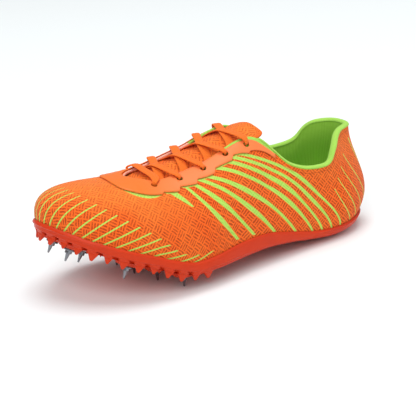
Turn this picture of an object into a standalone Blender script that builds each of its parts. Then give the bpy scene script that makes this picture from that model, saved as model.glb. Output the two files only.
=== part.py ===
"""Left track and field shoe with eight pin spikes, standing empty on its heel and its ball spikes.

The shoe is drawn on its last, in millimetres: X runs from the heel to the toe, Y to the outer side of
the foot and Z up from the floor. Rays fan round the feather line, where the upper meets the sole, and
each ray climbs one curve to the collar or the throat. Every piece is worked out from those rays.
"""

import math

import bmesh
import bpy
import numpy as np
from mathutils import Matrix, Vector

MM = 0.001

# Driving dimensions of the last
LENGTH = 276.0
BALL_WIDTH = 94.0
INSTEP_HEIGHT = 95.0
HEEL_HEIGHT = 82.0

# Rays from the heel back along the outer side to the toe and home along the inner side.
# Foot and top places are shares of the length and the ball width, and the top's rise is a share of
# the height named beside it. The wall leaves the feather line by wall_out and wall_up, and the crown
# comes in to the top from crown_reach of the way back to the foot, crown_drop lower. Pad is the extra
# thickness of the padded collar.
RAY_COLUMNS = ("name", "foot_along", "foot_across", "top_along", "top_across", "top_rise", "rise_of",
               "wall_out", "wall_up", "crown_reach", "crown_drop", "pad")
RAYS = [
    ("heel_back", 0.004, 0.000, 0.029, 0.000, 1.000, HEEL_HEIGHT, 18.0, 22.0, 0.00, 24.0, 2.0),
    ("heel_turn_lat", 0.012, 0.112, 0.038, 0.101, 1.000, HEEL_HEIGHT, 17.0, 22.0, 0.05, 24.0, 2.0),
    ("heel_lat", 0.036, 0.207, 0.087, 0.181, 0.991, HEEL_HEIGHT, 14.0, 22.0, 0.10, 24.0, 2.0),
    ("counter_lat", 0.100, 0.319, 0.132, 0.282, 0.872, HEEL_HEIGHT, 9.0, 22.0, 0.10, 20.0, 2.0),
    ("cup_lat", 0.159, 0.351, 0.160, 0.321, 0.768, HEEL_HEIGHT, 5.0, 20.0, 0.20, 15.0, 1.8),
    ("collar_lat", 0.225, 0.362, 0.203, 0.335, 0.754, HEEL_HEIGHT, 4.0, 20.0, 0.30, 14.0, 1.6),
    ("quarter_lat", 0.344, 0.394, 0.290, 0.303, 0.721, INSTEP_HEIGHT, 4.0, 22.0, 0.50, 16.0, 1.0),
    ("instep_lat", 0.471, 0.447, 0.388, 0.176, 0.984, INSTEP_HEIGHT, 3.0, 26.0, 0.60, 14.0, 0.0),
    ("ball_lat", 0.609, 0.516, 0.543, 0.149, 0.858, INSTEP_HEIGHT, 3.0, 26.0, 0.60, 10.0, 0.0),
    ("tread_lat", 0.725, 0.511, 0.659, 0.138, 0.805, INSTEP_HEIGHT, 3.0, 26.0, 0.60, 7.0, 0.0),
    ("toe_lat", 0.851, 0.399, 0.717, 0.090, 0.832, INSTEP_HEIGHT, 3.0, 27.0, 0.58, 3.0, 0.0),
    ("toe_corner", 0.931, 0.202, 0.732, 0.032, 0.838, INSTEP_HEIGHT, 4.0, 29.0, 0.56, 1.0, 0.0),
    ("toe_tip", 0.979, -0.117, 0.736, -0.032, 0.830, INSTEP_HEIGHT, 4.5, 30.0, 0.56, 0.0, 0.0),
    ("toe_big", 0.937, -0.362, 0.730, -0.096, 0.825, INSTEP_HEIGHT, 5.0, 33.0, 0.56, 1.0, 0.0),
    ("toe_med", 0.862, -0.463, 0.710, -0.154, 0.822, INSTEP_HEIGHT, 3.0, 31.0, 0.58, 3.0, 0.0),
    ("ball_med", 0.743, -0.473, 0.652, -0.181, 0.838, INSTEP_HEIGHT, 3.0, 26.0, 0.60, 7.0, 0.0),
    ("tread_med", 0.609, -0.410, 0.540, -0.191, 0.905, INSTEP_HEIGHT, 3.0, 28.0, 0.60, 10.0, 0.0),
    ("instep_med", 0.471, -0.324, 0.388, -0.197, 1.000, INSTEP_HEIGHT, 3.0, 28.0, 0.60, 14.0, 0.0),
    ("quarter_med", 0.344, -0.303, 0.290, -0.293, 0.742, INSTEP_HEIGHT, 3.0, 24.0, 0.50, 16.0, 1.0),
    ("collar_med", 0.225, -0.335, 0.199, -0.324, 0.780, HEEL_HEIGHT, 3.0, 22.0, 0.30, 14.0, 1.6),
    ("cup_med", 0.159, -0.340, 0.138, -0.303, 0.817, HEEL_HEIGHT, 4.0, 20.0, 0.20, 15.0, 1.8),
    ("counter_med", 0.100, -0.314, 0.105, -0.257, 0.935, HEEL_HEIGHT, 9.0, 22.0, 0.10, 20.0, 2.0),
    ("heel_med", 0.036, -0.207, 0.068, -0.162, 1.000, HEEL_HEIGHT, 14.0, 22.0, 0.10, 24.0, 2.0),
    ("heel_turn_med", 0.012, -0.112, 0.037, -0.098, 1.000, HEEL_HEIGHT, 17.0, 22.0, 0.05, 24.0, 2.0),
]

# Sections of the sole along the last: heights of the bed and the underside, how far the lip climbs
# the upper, how far the lower edge rounds under, how deep the underside is dished at its middle, and
# how much of the side wall's full reach stands out
SOLE_COLUMNS = ("along", "bed", "bottom", "lip", "tuck", "dish", "reach")
SOLE = [
    (-0.043, 13.0, 8.8, 1.2, 12.0, 0.0, 0.5),
    (0.000, 12.6, 5.8, 1.2, 13.0, 0.0, 0.5),
    (0.029, 12.2, 1.8, 1.2, 14.5, 0.0, 0.5),
    (0.058, 11.6, 0.0, 1.2, 16.0, 0.0, 0.5),
    (0.145, 10.2, 0.0, 1.3, 18.0, 0.0, 0.6),
    (0.225, 11.2, 3.4, 2.2, 16.0, 0.6, 0.8),
    (0.333, 14.8, 8.8, 4.6, 9.5, 1.8, 1.0),
    (0.442, 18.0, 12.0, 7.0, 5.5, 2.2, 1.0),
    (0.551, 19.4, 12.4, 6.0, 3.0, 2.0, 1.0),
    (0.652, 20.0, 12.6, 3.0, 1.6, 0.0, 1.0),
    (0.710, 20.8, 13.2, 2.2, 1.2, 0.0, 1.0),
    (0.768, 26.0, 18.6, 2.2, 1.2, 0.0, 1.0),
    (0.833, 35.0, 28.0, 2.4, 1.2, 0.0, 0.9),
    (0.906, 46.0, 39.6, 2.8, 1.2, 0.0, 0.7),
    (0.978, 57.0, 51.0, 3.0, 1.2, 0.0, 0.5),
    (1.051, 67.5, 62.0, 3.0, 1.2, 0.0, 0.5),
]

# The ball bends along a line that slants back to the outer side, and the slant fades to the toe
SLANT = 0.36
SLANT_STARTS, SLANT_FULL = 60.0, 120.0
SLANT_FADES, SLANT_FADED = 205.0, 250.0
SLANT_LEFT = 0.4

# The side wall, from the bed down to where it turns under: share of the height and millimetres out
SIDE_COLUMNS = ("name", "share", "stands_out")
SIDE = [
    ("bead", 1.00, 2.5),
    ("ledge", 0.70, 2.9),
    ("step", 0.62, 2.2),
    ("skirt", 0.34, 2.2),
    ("turn", 0.00, 1.4),
]

GAP = 0.3
WALL = 2.0
PAD_STARTS, PAD_FULL = 0.45, 0.90
LIP_TOP, LIP_ROOT = 1.0, 1.9
LIP_SLOPE = 0.5
BED_INSET = 8.0
UNDER_INSET = 4.0
RAY_COUNT = 62
RAY_CROWDING = 0.35
RUNG_POINTS = 3
SAMPLES, CLIMB_SAMPLES = 400, 81
SKIN_CLIMBS = (0.0, 0.06, 0.14, 0.25, 0.38, 0.52, 0.66, 0.79, 0.90, 1.0)

INSOLE_THICK = 3.0
INSOLE_INSET = WALL + 0.6

# Film round the throat: its width below the throat's edge at the rays that it passes
EYESTAY_COLUMNS = ("ray", "width")
EYESTAY = [
    ("quarter_lat", 6.0),
    ("instep_lat", 12.5),
    ("ball_lat", 15.5),
    ("tread_lat", 17.0),
    ("toe_lat", 19.0),
    ("toe_tip", 15.0),
    ("toe_med", 18.0),
    ("ball_med", 17.0),
    ("tread_med", 15.5),
    ("instep_med", 12.5),
    ("quarter_med", 6.0),
]
EYESTAY_THICK = 0.8
EYESTAY_EDGE = 0.8
EYESTAY_POINTS = 4
EYESTAY_ENDS = 0.4
STEP_COUNT = 5
STEP_DEPTH = 4.0
STEP_SHARP = 0.1

# Eyelets, as places along the throat's edge, a set distance below it
EYELETS_ALONG = (0.680, 0.609, 0.536, 0.464, 0.399)
EYELET_BELOW = 7.0
EYELET_HOLE = 4.2
EYELET_REACH = WALL + 3.0
EYELET_SIDES = 8
LACE_WIDTH, LACE_THICK = 6.4, 1.2
LACE_LIFT = EYESTAY_THICK + 2 * GAP + 0.5
LACE_STATIONS = 8
LACE_OVERRUN = 0.05
LACE_STAGGER = 0.6

# Tongue, in shares of the throat from its front end to its top eyelets
TONGUE_FROM, TONGUE_TO = -0.28, 1.22
TONGUE_HALF = 1.10
TONGUE_THICK = 2.6
TONGUE_BELOW = WALL + 1.0
TONGUE_CROWN = 2.6
TONGUE_SWELL = 0.45
ROUND_FROM, TIP_SHARE = 1.06, 0.40
FRONT_SHARE, FRONT_DROP = 0.45, 1.6
SWELLS_FROM, SWELLS_FULL = -0.15, 0.05
TONGUE_STATIONS, TONGUE_POINTS = 15, 9
CROWN_RISE = 0.8
EDGE_ACROSS = 0.55
TOP_BACK, TOP_UP = 62.0, 14.0
TOP_HALF = 0.58
TWIST, TWIST_FROM, TWIST_FULL = 6.0, 0.95, 1.15
NARROWS_FROM, NARROWS_TO = 0.70, 0.95

BINDING_GAP = 0.45
BINDING_ENDS = 0.85
BINDING_HEIGHT = 2.2
BINDING_OVER = 0.6
BINDING_SIDES = 8

# Spikes: place of the boss on the sole, and whether the shoe stands on it
SPIKE_COLUMNS = ("along", "across", "stands")
SPIKES = [
    (0.656, 0.367, True),
    (0.692, 0.138, True),
    (0.719, -0.096, True),
    (0.729, -0.340, True),
    (0.797, 0.266, False),
    (0.917, 0.048, False),
    (0.924, -0.213, False),
    (0.826, -0.319, False),
]
SPIKE_LENGTH = 9.3
FLANGE_RADIUS, FLANGE_THICK, FLANGE_CHAMFER = 4.4, 1.3, 0.8
SHANK_RADIUS, TIP_RADIUS = 1.9, 0.7
SPIKE_SIDES = 10
BOSS_PROFILE = ((11.0, -1.4), (10.6, 0.7), (8.6, 2.3), (6.6, 3.0))
BOSS_HEIGHT = 3.0
BOSS_SIDES = 14

# Teeth along the forefoot's edge, and ribs that stiffen the waist of the sole
TOOTH_PITCH = 10.5
TOOTH_LONG, TOOTH_WIDE, TOOTH_HIGH, TOOTH_SUNK = 6.4, 4.2, 5.2, 1.2
TOOTH_TIP = 0.18
TEETH_INSET = 1.6
TEETH_FROM, TEETH_TO = "ball_lat", "tread_med"
RIB_WIDE, RIB_HIGH, RIB_SUNK = 2.6, 1.8, 1.2
FAN_COLUMNS = ("along", "across", "heading", "spread", "count", "starts", "ends")
FANS = [
    (0.250, 0.02, 0.0, 62.0, 5, 16.0, 58.0),
    (0.640, 0.03, 180.0, 66.0, 4, 20.0, 46.0),
]
SCALLOP_RADIUS = 14.2
SCALLOP_HALF = 46.0
RIB_STATIONS = 5


def column(table, columns, name):
    """One named column of a table."""
    return [row[columns.index(name)] for row in table]


def rows(table, columns):
    """The rows of a table, each as a dictionary by column name."""
    return [dict(zip(columns, row)) for row in table]


def through(knots, values, at):
    """Smooth curve through the rows of a table, held at its ends."""
    knots = np.asarray(knots, float)
    values = np.asarray(values, float)
    steps = np.diff(knots)
    rates = np.diff(values) / steps
    inner = (rates[:-1] * steps[1:] + rates[1:] * steps[:-1]) / (steps[:-1] + steps[1:])
    slopes = np.concatenate([rates[:1], inner, rates[-1:]])
    at = np.clip(at, knots[0], knots[-1])
    i = np.clip(np.searchsorted(knots, at, side="right") - 1, 0, len(steps) - 1)
    s = (at - knots[i]) / steps[i]
    ends = values[i] * (1 + 2 * s) * (1 - s) ** 2 + values[i + 1] * s * s * (3 - 2 * s)
    return ends + steps[i] * (slopes[i] * s * (1 - s) ** 2 - slopes[i + 1] * s * s * (1 - s))


def ramp(at, low, high):
    """0 below low, 1 above high, smooth between."""
    s = np.clip((np.asarray(at, float) - low) / (high - low), 0.0, 1.0)
    return s * s * (3 - 2 * s)


def ray_values(name):
    """A column of the rays in millimetres."""
    values = np.array(column(RAYS, RAY_COLUMNS, name), float)
    if name.endswith("along"):
        return values * LENGTH
    if name.endswith("across"):
        return values * BALL_WIDTH
    if name == "top_rise":
        return values * np.array(column(RAYS, RAY_COLUMNS, "rise_of"))
    return values


def ray_turns():
    """Each ray's place round the feather line, from 0 at the heel back to 1 there again."""
    foot = np.stack([ray_values("foot_along"), ray_values("foot_across")], axis=1)
    run = np.cumsum(np.linalg.norm(np.roll(foot, -1, axis=0) - foot, axis=1))
    return np.concatenate([[0.0], run / run[-1]])


RAY_TURNS = ray_turns()
RAY_NAMES = column(RAYS, RAY_COLUMNS, "name")


def crowded_turns():
    """Turns of the mesh's rays, closer together round the heel and the toe."""
    even = np.arange(RAY_COUNT) / RAY_COUNT
    return even - RAY_CROWDING * np.sin(4 * math.pi * even) / (4 * math.pi)


TURNS = crowded_turns()


def turn_of(name):
    """Turn of a named ray."""
    return RAY_TURNS[RAY_NAMES.index(name)]


def between(name, other, share):
    """Turn at a share of the way from one named ray to another."""
    return turn_of(name) + (turn_of(other) - turn_of(name)) * share


def round_rays(name, turn):
    """Smooth closed curve through a column of the rays."""
    values = ray_values(name)
    reach = 3
    knots = np.concatenate([RAY_TURNS[-1 - reach:-1] - 1, RAY_TURNS, RAY_TURNS[1:1 + reach] + 1])
    values = np.concatenate([values[-reach:], values, values[:1 + reach]])
    return through(knots, values, np.asarray(turn, float) % 1.0)


def feather(turn):
    """Point of the feather line in plan, and the direction that faces out of the shoe there."""
    small = 1e-3
    point = np.stack([round_rays("foot_along", turn), round_rays("foot_across", turn)], axis=-1)
    ahead = np.stack([round_rays("foot_along", turn + small), round_rays("foot_across", turn + small)], -1)
    back = np.stack([round_rays("foot_along", turn - small), round_rays("foot_across", turn - small)], -1)
    run = ahead - back
    run = run / np.linalg.norm(run, axis=-1, keepdims=True)
    return point, np.stack([-run[..., 1], run[..., 0]], axis=-1)


def slanted(x, y):
    """Distance along the sole, measured square to the slanting bend of the ball."""
    grows = np.clip((x - SLANT_STARTS) / (SLANT_FULL - SLANT_STARTS), 0, 1)
    fades = np.clip((x - SLANT_FADES) / (SLANT_FADED - SLANT_FADES), 0, 1)
    return x + SLANT * y * grows * (1 - (1 - SLANT_LEFT) * fades)


def sole_value(name, xy):
    """A column of the sole's sections at points in plan."""
    along = np.array(column(SOLE, SOLE_COLUMNS, "along")) * LENGTH
    return through(along, column(SOLE, SOLE_COLUMNS, name), slanted(xy[..., 0], xy[..., 1]))


def bed_height(xy):
    return sole_value("bed", xy)


def bottom_height(xy):
    return np.maximum(sole_value("bottom", xy), 0.0)


def dish_depth(xy):
    return np.maximum(sole_value("dish", xy), 0.0)


def on_height(xy, z):
    """Points in space from points in plan and their heights."""
    return np.concatenate([xy, np.asarray(z)[..., None]], axis=-1)


def bare_skin(turn, climb):
    """The upper's outer face: a cubic from the feather line (climb 0) to the collar or throat (1)."""
    turn, climb = np.broadcast_arrays(np.asarray(turn, float), np.asarray(climb, float))
    plan, out = feather(turn)
    foot = on_height(plan, bed_height(plan) + GAP)
    top = np.stack([round_rays("top_along", turn), round_rays("top_across", turn),
                    round_rays("top_rise", turn)], axis=-1)
    wall = foot + on_height(out * round_rays("wall_out", turn)[..., None], round_rays("wall_up", turn))
    back = (plan - top[..., :2]) * round_rays("crown_reach", turn)[..., None]
    crown = top + on_height(back, -round_rays("crown_drop", turn))
    c = climb[..., None]
    return (1 - c) ** 3 * foot + 3 * c * (1 - c) ** 2 * wall + 3 * c * c * (1 - c) * crown + c ** 3 * top


def skin_normal(turn, climb):
    """Unit direction out of the upper."""
    small = 1e-3
    up = bare_skin(turn, climb + small) - bare_skin(turn, climb - small)
    run = bare_skin(turn + small, climb) - bare_skin(turn - small, climb)
    normal = np.cross(up, run)
    return normal / np.linalg.norm(normal, axis=-1, keepdims=True)


def skin(turn, climb, lift=0.0):
    """The upper's outer face, moved out by lift."""
    turn, climb, lift = np.broadcast_arrays(np.asarray(turn, float), np.asarray(climb, float), lift)
    return bare_skin(turn, climb) + skin_normal(turn, climb) * lift[..., None]


def climb_at(turn, distance, from_top=False):
    """Climb at a distance along the ray, measured from the feather line or from the top."""
    turn, distance = np.broadcast_arrays(np.asarray(turn, float), np.asarray(distance, float))
    climbs = np.linspace(0.0, 1.0, CLIMB_SAMPLES)
    points = bare_skin(turn[..., None], climbs)
    steps = np.linalg.norm(np.diff(points, axis=-2), axis=-1)
    run = np.concatenate([np.zeros(turn.shape + (1,)), np.cumsum(steps, axis=-1)], axis=-1)
    wanted = run[..., -1] - distance if from_top else distance
    found = [np.interp(w, r, climbs) for w, r in zip(wanted.ravel(), run.reshape(-1, run.shape[-1]))]
    return np.array(found).reshape(turn.shape)


def new_ring(bm, points):
    return [bm.verts.new(Vector(point) * MM) for point in points]


def bridge(bm, first, second, closed=True):
    """Faces between two rows of vertices."""
    count = len(first) if closed else len(first) - 1
    for i in range(count):
        j = (i + 1) % len(first)
        bm.faces.new((first[i], first[j], second[j], second[i]))


def fill_with_rungs(bm, ring, height):
    """Close a ring with rungs across the shoe, whose inner points take their height from a function."""
    count = len(ring)
    rows = [[ring[0]]]
    for i in range(1, count // 2):
        left, right = ring[i], ring[-i]
        row = [left]
        for k in range(1, RUNG_POINTS + 1):
            share = k / (RUNG_POINTS + 1)
            plan = np.array(left.co.lerp(right.co, share)[:2]) / MM
            row.append(bm.verts.new(Vector((*plan, height(plan, 2 * share - 1))) * MM))
        rows.append(row + [right])
    rows.append([ring[count // 2]])
    for row, after in zip(rows[:-1], rows[1:]):
        if len(row) == len(after):
            bridge(bm, row, after, closed=False)
            continue
        single, many = (row[0], after) if len(row) == 1 else (after[0], row)
        for a, b in zip(many[:-1], many[1:]):
            bm.faces.new((single, a, b))


def add_swept(bm, sections, closed=False):
    """Solid swept through equal closed sections, with flat ends unless it closes on itself."""
    rings = [new_ring(bm, section) for section in sections]
    for first, second in zip(rings[:-1], rings[1:]):
        bridge(bm, first, second)
    if closed:
        bridge(bm, rings[-1], rings[0])
        return
    bm.faces.new(rings[0])
    bm.faces.new(rings[-1])


def add_turned(bm, profile, sides, matrix):
    """Solid turned about a local Z axis from radius and height pairs."""
    rings = []
    for radius, height in profile:
        angles = [2 * math.pi * k / sides for k in range(sides)]
        rings.append([matrix @ Vector((radius * math.cos(a), radius * math.sin(a), height)) for a in angles])
    add_swept(bm, rings)


def new_material(name, colour, roughness, metallic=0.0):
    material = bpy.data.materials.new(name)
    material.use_nodes = True
    shader = material.node_tree.nodes["Principled BSDF"]
    shader.inputs["Base Color"].default_value = (*colour, 1.0)
    shader.inputs["Roughness"].default_value = roughness
    shader.inputs["Metallic"].default_value = metallic
    material.diffuse_color = (*colour, 1.0)
    return material


def new_object(name, bm, material, last):
    """Object on the last, made from a bmesh with its faces turned out."""
    bmesh.ops.recalc_face_normals(bm, faces=bm.faces)
    mesh = bpy.data.meshes.new(name)
    bm.to_mesh(mesh)
    bm.free()
    mesh.shade_smooth()
    mesh.set_sharp_from_angle(angle=math.radians(40))
    obj = bpy.data.objects.new(name, mesh)
    bpy.context.collection.objects.link(obj)
    obj.parent = last
    if material:
        mesh.materials.append(material)
    return obj


def new_cutter(name, bm, last):
    cutter = new_object(name, bm, None, last)
    cutter.hide_render = True
    cutter.display_type = "WIRE"
    return cutter


def combine(obj, other, operation):
    modifier = obj.modifiers.new(other.name, "BOOLEAN")
    modifier.operation = operation
    modifier.solver = "EXACT"
    modifier.object = other


def sole_frame(plan, heading=0.0, upright=False):
    """Matrix at a point of the underside: Z leaves the sole, X runs along the heading in degrees."""
    small = 0.5
    plan = np.asarray(plan, float)
    centre = Vector(on_height(plan, bottom_height(plan)))
    slope_x = (bottom_height(plan + [small, 0]) - bottom_height(plan - [small, 0])) / (2 * small)
    slope_y = (bottom_height(plan + [0, small]) - bottom_height(plan - [0, small])) / (2 * small)
    down = Vector((0, 0, -1)) if upright else Vector((slope_x, slope_y, -1)).normalized()
    angle = math.radians(heading)
    ahead = Vector((math.cos(angle), math.sin(angle), 0))
    side = down.cross(ahead).normalized()
    ahead = side.cross(down)
    return Matrix.Translation(centre) @ Matrix((ahead, side, down)).transposed().to_4x4()


def spike_places():
    """Each spike's place in plan, and whether the shoe stands on it."""
    for spike in rows(SPIKES, SPIKE_COLUMNS):
        yield np.array([spike["along"] * LENGTH, spike["across"] * BALL_WIDTH]), spike["stands"]


def boss_height(plan, stands):
    """Height of a boss, so that a spike the shoe stands on ends on the floor."""
    if not stands:
        return BOSS_HEIGHT
    return float(bottom_height(plan)) - SPIKE_LENGTH - GAP


def outsole_body(turns):
    """Bed, lip, side wall and underside as rings round the feather line."""
    plan, out = feather(turns)
    bed = bed_height(plan)
    bottom = bottom_height(plan)
    lip = sole_value("lip", plan)
    tuck = sole_value("tuck", plan)
    reach = sole_value("reach", plan)
    inner_bed = plan - out * BED_INSET
    rings = [
        on_height(inner_bed, bed_height(inner_bed)),
        on_height(plan + out * GAP, bed),
        skin(turns, climb_at(turns, 0.5 * lip), GAP),
        skin(turns, climb_at(turns, lip), GAP),
        skin(turns, climb_at(turns, lip - LIP_SLOPE), GAP + LIP_TOP),
        skin(turns, climb_at(turns, 0.4 * lip), GAP + LIP_ROOT),
    ]
    for side in rows(SIDE, SIDE_COLUMNS):
        quarter = 0.5 * math.pi * side["share"]
        inward = tuck * (1 - math.sin(quarter)) - side["stands_out"] * reach
        height = bottom + (bed - bottom) * (1 - math.cos(quarter))
        rings.append(on_height(plan - out * inward[:, None], height))
    inner_bottom = plan - out * (tuck + UNDER_INSET)[:, None]
    rings.append(on_height(inner_bottom, bottom_height(inner_bottom)))
    bm = bmesh.new()
    loops = [new_ring(bm, ring) for ring in rings]
    for first, second in zip(loops[:-1], loops[1:]):
        bridge(bm, first, second)
    fill_with_rungs(bm, loops[0], lambda plan, across: bed_height(plan))
    fill_with_rungs(bm, loops[-1], lambda plan, across: dished_height(plan, across))
    return bm


def dished_height(plan, across):
    """Underside between its side rails, dished most at the middle."""
    return bottom_height(plan) + dish_depth(plan) * (1 - across ** 4)


def add_tooth(bm, plan, heading):
    """Edge tooth: a block that narrows to a blunt point."""
    frame = sole_frame(plan, heading)
    sections = []
    for height, share in ((-TOOTH_SUNK, 1.0), (0.3 * TOOTH_HIGH, 0.8), (TOOTH_HIGH, TOOTH_TIP)):
        half_long, half_wide = 0.5 * TOOTH_LONG * share, 0.5 * TOOTH_WIDE * share
        corners = ((-1, -1), (1, -1), (1, 1), (-1, 1))
        sections.append([frame @ Vector((a * half_long, b * half_wide, height)) for a, b in corners])
    add_swept(bm, sections)


def add_rib(bm, plans):
    """Rib along points in plan, on the dished underside."""
    sections = []
    for i, plan in enumerate(plans):
        run = plans[min(i + 1, len(plans) - 1)] - plans[max(i - 1, 0)]
        frame = sole_frame(plan, math.degrees(math.atan2(run[1], run[0])))
        sunk = Vector((0, 0, float(dish_depth(plan))))
        corners = ((-1, -RIB_SUNK), (1, -RIB_SUNK), (0.5, RIB_HIGH), (-0.5, RIB_HIGH))
        sections.append([sunk + frame @ Vector((0, side * RIB_WIDE / 2, high)) for side, high in corners])
    add_swept(bm, sections)


def make_outsole(material, last):
    outsole = new_object("outsole", outsole_body(TURNS), material, last)
    bosses = bmesh.new()
    for plan, stands in spike_places():
        scale = boss_height(plan, stands) / BOSS_HEIGHT
        profile = [(radius, high * scale if high > 0 else high) for radius, high in BOSS_PROFILE]
        add_turned(bosses, profile, BOSS_SIDES, sole_frame(plan, upright=stands))
    combine(outsole, new_cutter("boss_tool", bosses, last), "UNION")
    teeth = bmesh.new()
    start, end = turn_of(TEETH_FROM), turn_of(TEETH_TO)
    fine = np.linspace(start, end, SAMPLES)
    plan, out = feather(fine)
    plan = plan - out * TEETH_INSET
    run = np.concatenate([[0], np.cumsum(np.linalg.norm(np.diff(plan, axis=0), axis=1))])
    for k in range(int(run[-1] / TOOTH_PITCH) + 1):
        turn = np.interp(k * TOOTH_PITCH, run, fine)
        place, face = feather(turn)
        add_tooth(teeth, place - face * TEETH_INSET, math.degrees(math.atan2(-face[0], face[1])))
    combine(outsole, new_cutter("tooth_tool", teeth, last), "UNION")
    ribs = bmesh.new()
    for fan in rows(FANS, FAN_COLUMNS):
        centre = np.array([fan["along"] * LENGTH, fan["across"] * BALL_WIDTH])
        for k in range(fan["count"]):
            angle = math.radians(fan["heading"] + fan["spread"] * (k / (fan["count"] - 1) - 0.5))
            ray = np.array([math.cos(angle), math.sin(angle)])
            add_rib(ribs, [centre + ray * d for d in np.linspace(fan["starts"], fan["ends"], RIB_STATIONS)])
    for plan, stands in spike_places():
        if stands:
            angles = np.radians(np.linspace(180 - SCALLOP_HALF, 180 + SCALLOP_HALF, RIB_STATIONS))
            add_rib(ribs, [plan + SCALLOP_RADIUS * np.array([math.cos(a), math.sin(a)]) for a in angles])
    combine(outsole, new_cutter("rib_tool", ribs, last), "UNION")


def wall_thickness(turn, climb):
    return WALL + round_rays("pad", turn) * ramp(climb, PAD_STARTS, PAD_FULL)


def make_upper(material, eyelet_tool, last):
    """One wall round the last: each ray is a closed section, out along the skin and back inside."""
    grid_turns, grid_climbs = np.meshgrid(TURNS, SKIN_CLIMBS, indexing="ij")
    outer = skin(grid_turns, grid_climbs)
    inner = skin(grid_turns, grid_climbs, -wall_thickness(grid_turns, grid_climbs))
    plan, out = feather(TURNS)
    inner[:, 0] = on_height(plan - out * WALL, bed_height(plan - out * WALL) + GAP)
    bm = bmesh.new()
    add_swept(bm, np.concatenate([outer, inner[:, ::-1]], axis=1), closed=True)
    upper = new_object("upper", bm, material, last)
    combine(upper, eyelet_tool, "DIFFERENCE")


def make_insole(material, last):
    plan, out = feather(TURNS)
    plan = plan - out * INSOLE_INSET
    bm = bmesh.new()
    low, high = GAP, GAP + INSOLE_THICK
    lower = new_ring(bm, on_height(plan, bed_height(plan) + low))
    upper = new_ring(bm, on_height(plan, bed_height(plan) + high))
    bridge(bm, lower, upper)
    fill_with_rungs(bm, lower, lambda plan, across: bed_height(plan) + low)
    fill_with_rungs(bm, upper, lambda plan, across: bed_height(plan) + high)
    new_object("insole", bm, material, last)


def throat_turn(along, side):
    """Turn of the ray that tops out at this distance along the last, outer (1) or inner (-1) side."""
    far = turn_of("toe_tip")
    near = turn_of("instep_lat") if side > 0 else turn_of("instep_med")
    turns = np.linspace(near, far, SAMPLES)
    return float(np.interp(along, round_rays("top_along", turns), turns))


def throat_points(share, lift):
    """Five points across the throat at a share of its length: eyelet, edge, crown, edge, eyelet."""
    first, top = EYELETS_ALONG[0] * LENGTH, EYELETS_ALONG[-1] * LENGTH
    along = first + (top - first) * np.clip(share, 0.0, 1.0)
    turns = [throat_turn(along, side) for side in (1, -1)]
    edges = [skin(turn, 1.0, lift) for turn in turns]
    eyelets = [skin(turn, climb_at(turn, EYELET_BELOW, True), lift) for turn in turns]
    normal = skin_normal(turns[0], 1.0) + skin_normal(turns[1], 1.0)
    normal = normal / np.linalg.norm(normal)
    crown = 0.5 * (edges[0] + edges[1]) + normal * CROWN_RISE
    return np.array([eyelets[0], edges[0], crown, edges[1], eyelets[1]])


def throat_point(share, across, lift):
    """Point over the throat: across runs from 1 at the outer eyelets to -1 at the inner ones."""
    points = throat_points(share, lift)
    knots = (-1.0, -EDGE_ACROSS, 0.0, EDGE_ACROSS, 1.0)
    point = np.array([float(through(knots, points[::-1, k], across)) for k in range(3)])
    if abs(across) > 1.0:
        beyond = points[0] - points[1] if across > 0 else points[4] - points[3]
        point = point + beyond * (abs(across) - 1.0) / (1.0 - EDGE_ACROSS)
    return point


def lace_section(share, across, share_step, across_step, lift):
    """Flat section of the lace, square to its run."""
    centre = throat_point(share, across, lift)
    small = 0.02
    ahead = throat_point(share + share_step * small, across + across_step * small, lift)
    back = throat_point(share - share_step * small, across - across_step * small, lift)
    run = Vector(ahead - back).normalized()
    middle = np.clip(share, small, 1 - small)
    above = throat_point(middle + small, across, lift)
    below = throat_point(middle - small, across, lift)
    normal = run.cross(Vector(above - below)).normalized()
    if normal.z < 0:
        normal.negate()
    side = normal.cross(run).normalized()
    half = side * LACE_WIDTH / 2
    centre = Vector(centre)
    top = normal * LACE_THICK
    return [centre - half, centre + half, centre + half + top, centre - half + top]


def make_lace(material, last):
    """Bottom bar and crossings, joined where they cross and where they meet at the eyelets."""
    first, top = EYELETS_ALONG[0], EYELETS_ALONG[-1]
    shares = [(along - first) / (top - first) for along in EYELETS_ALONG]
    runs = [(shares[0], shares[0], 1.0, 0.5)]
    for low, high in zip(shares[:-1], shares[1:]):
        runs += [(low, high, 1.0, 0.0), (low, high, -1.0, 1.0)]
    tools = []
    for k, (low, high, side, over) in enumerate(runs):
        bm = bmesh.new()
        sections = []
        lift = LACE_LIFT + LACE_STAGGER * over
        for s in np.linspace(-LACE_OVERRUN, 1.0 + LACE_OVERRUN, LACE_STATIONS):
            across = side * (1 - 2 * s)
            sections.append(lace_section(low + (high - low) * s, across, high - low, -2 * side, lift))
        add_swept(bm, sections)
        if k == 0:
            lace = new_object("lace", bm, material, last)
            continue
        tools.append(new_cutter("lace_run_%d" % k, bm, last))
    for tool in tools:
        combine(lace, tool, "UNION")


def tongue_point(share, across, deeper):
    """The tongue lies under the eyestay's edges, swells between them and twists as it runs on above."""
    swell = TONGUE_CROWN * (1 - float(ramp(abs(across), 0.0, TONGUE_SWELL)))
    swell = swell * float(ramp(share, SWELLS_FROM, SWELLS_FULL))
    drop = FRONT_DROP * float(ramp(share, 0.0, SWELLS_FROM))
    point = throat_point(share, across, -TONGUE_BELOW - deeper) + np.array([0, 0, swell - drop])
    if share > 1.0:
        point = point + np.array([-TOP_BACK, 0.0, TOP_UP]) * (share - 1.0)
    point[0] -= TWIST * across * float(ramp(share, TWIST_FROM, TWIST_FULL))
    if share < 0.0:
        front = turn_of("toe_tip")
        slope = bare_skin(front, 0.9) - bare_skin(front, 1.0)
        throat_length = (EYELETS_ALONG[0] - EYELETS_ALONG[-1]) * LENGTH
        point = point - slope / np.linalg.norm(slope) * share * throat_length
    return point


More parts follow.
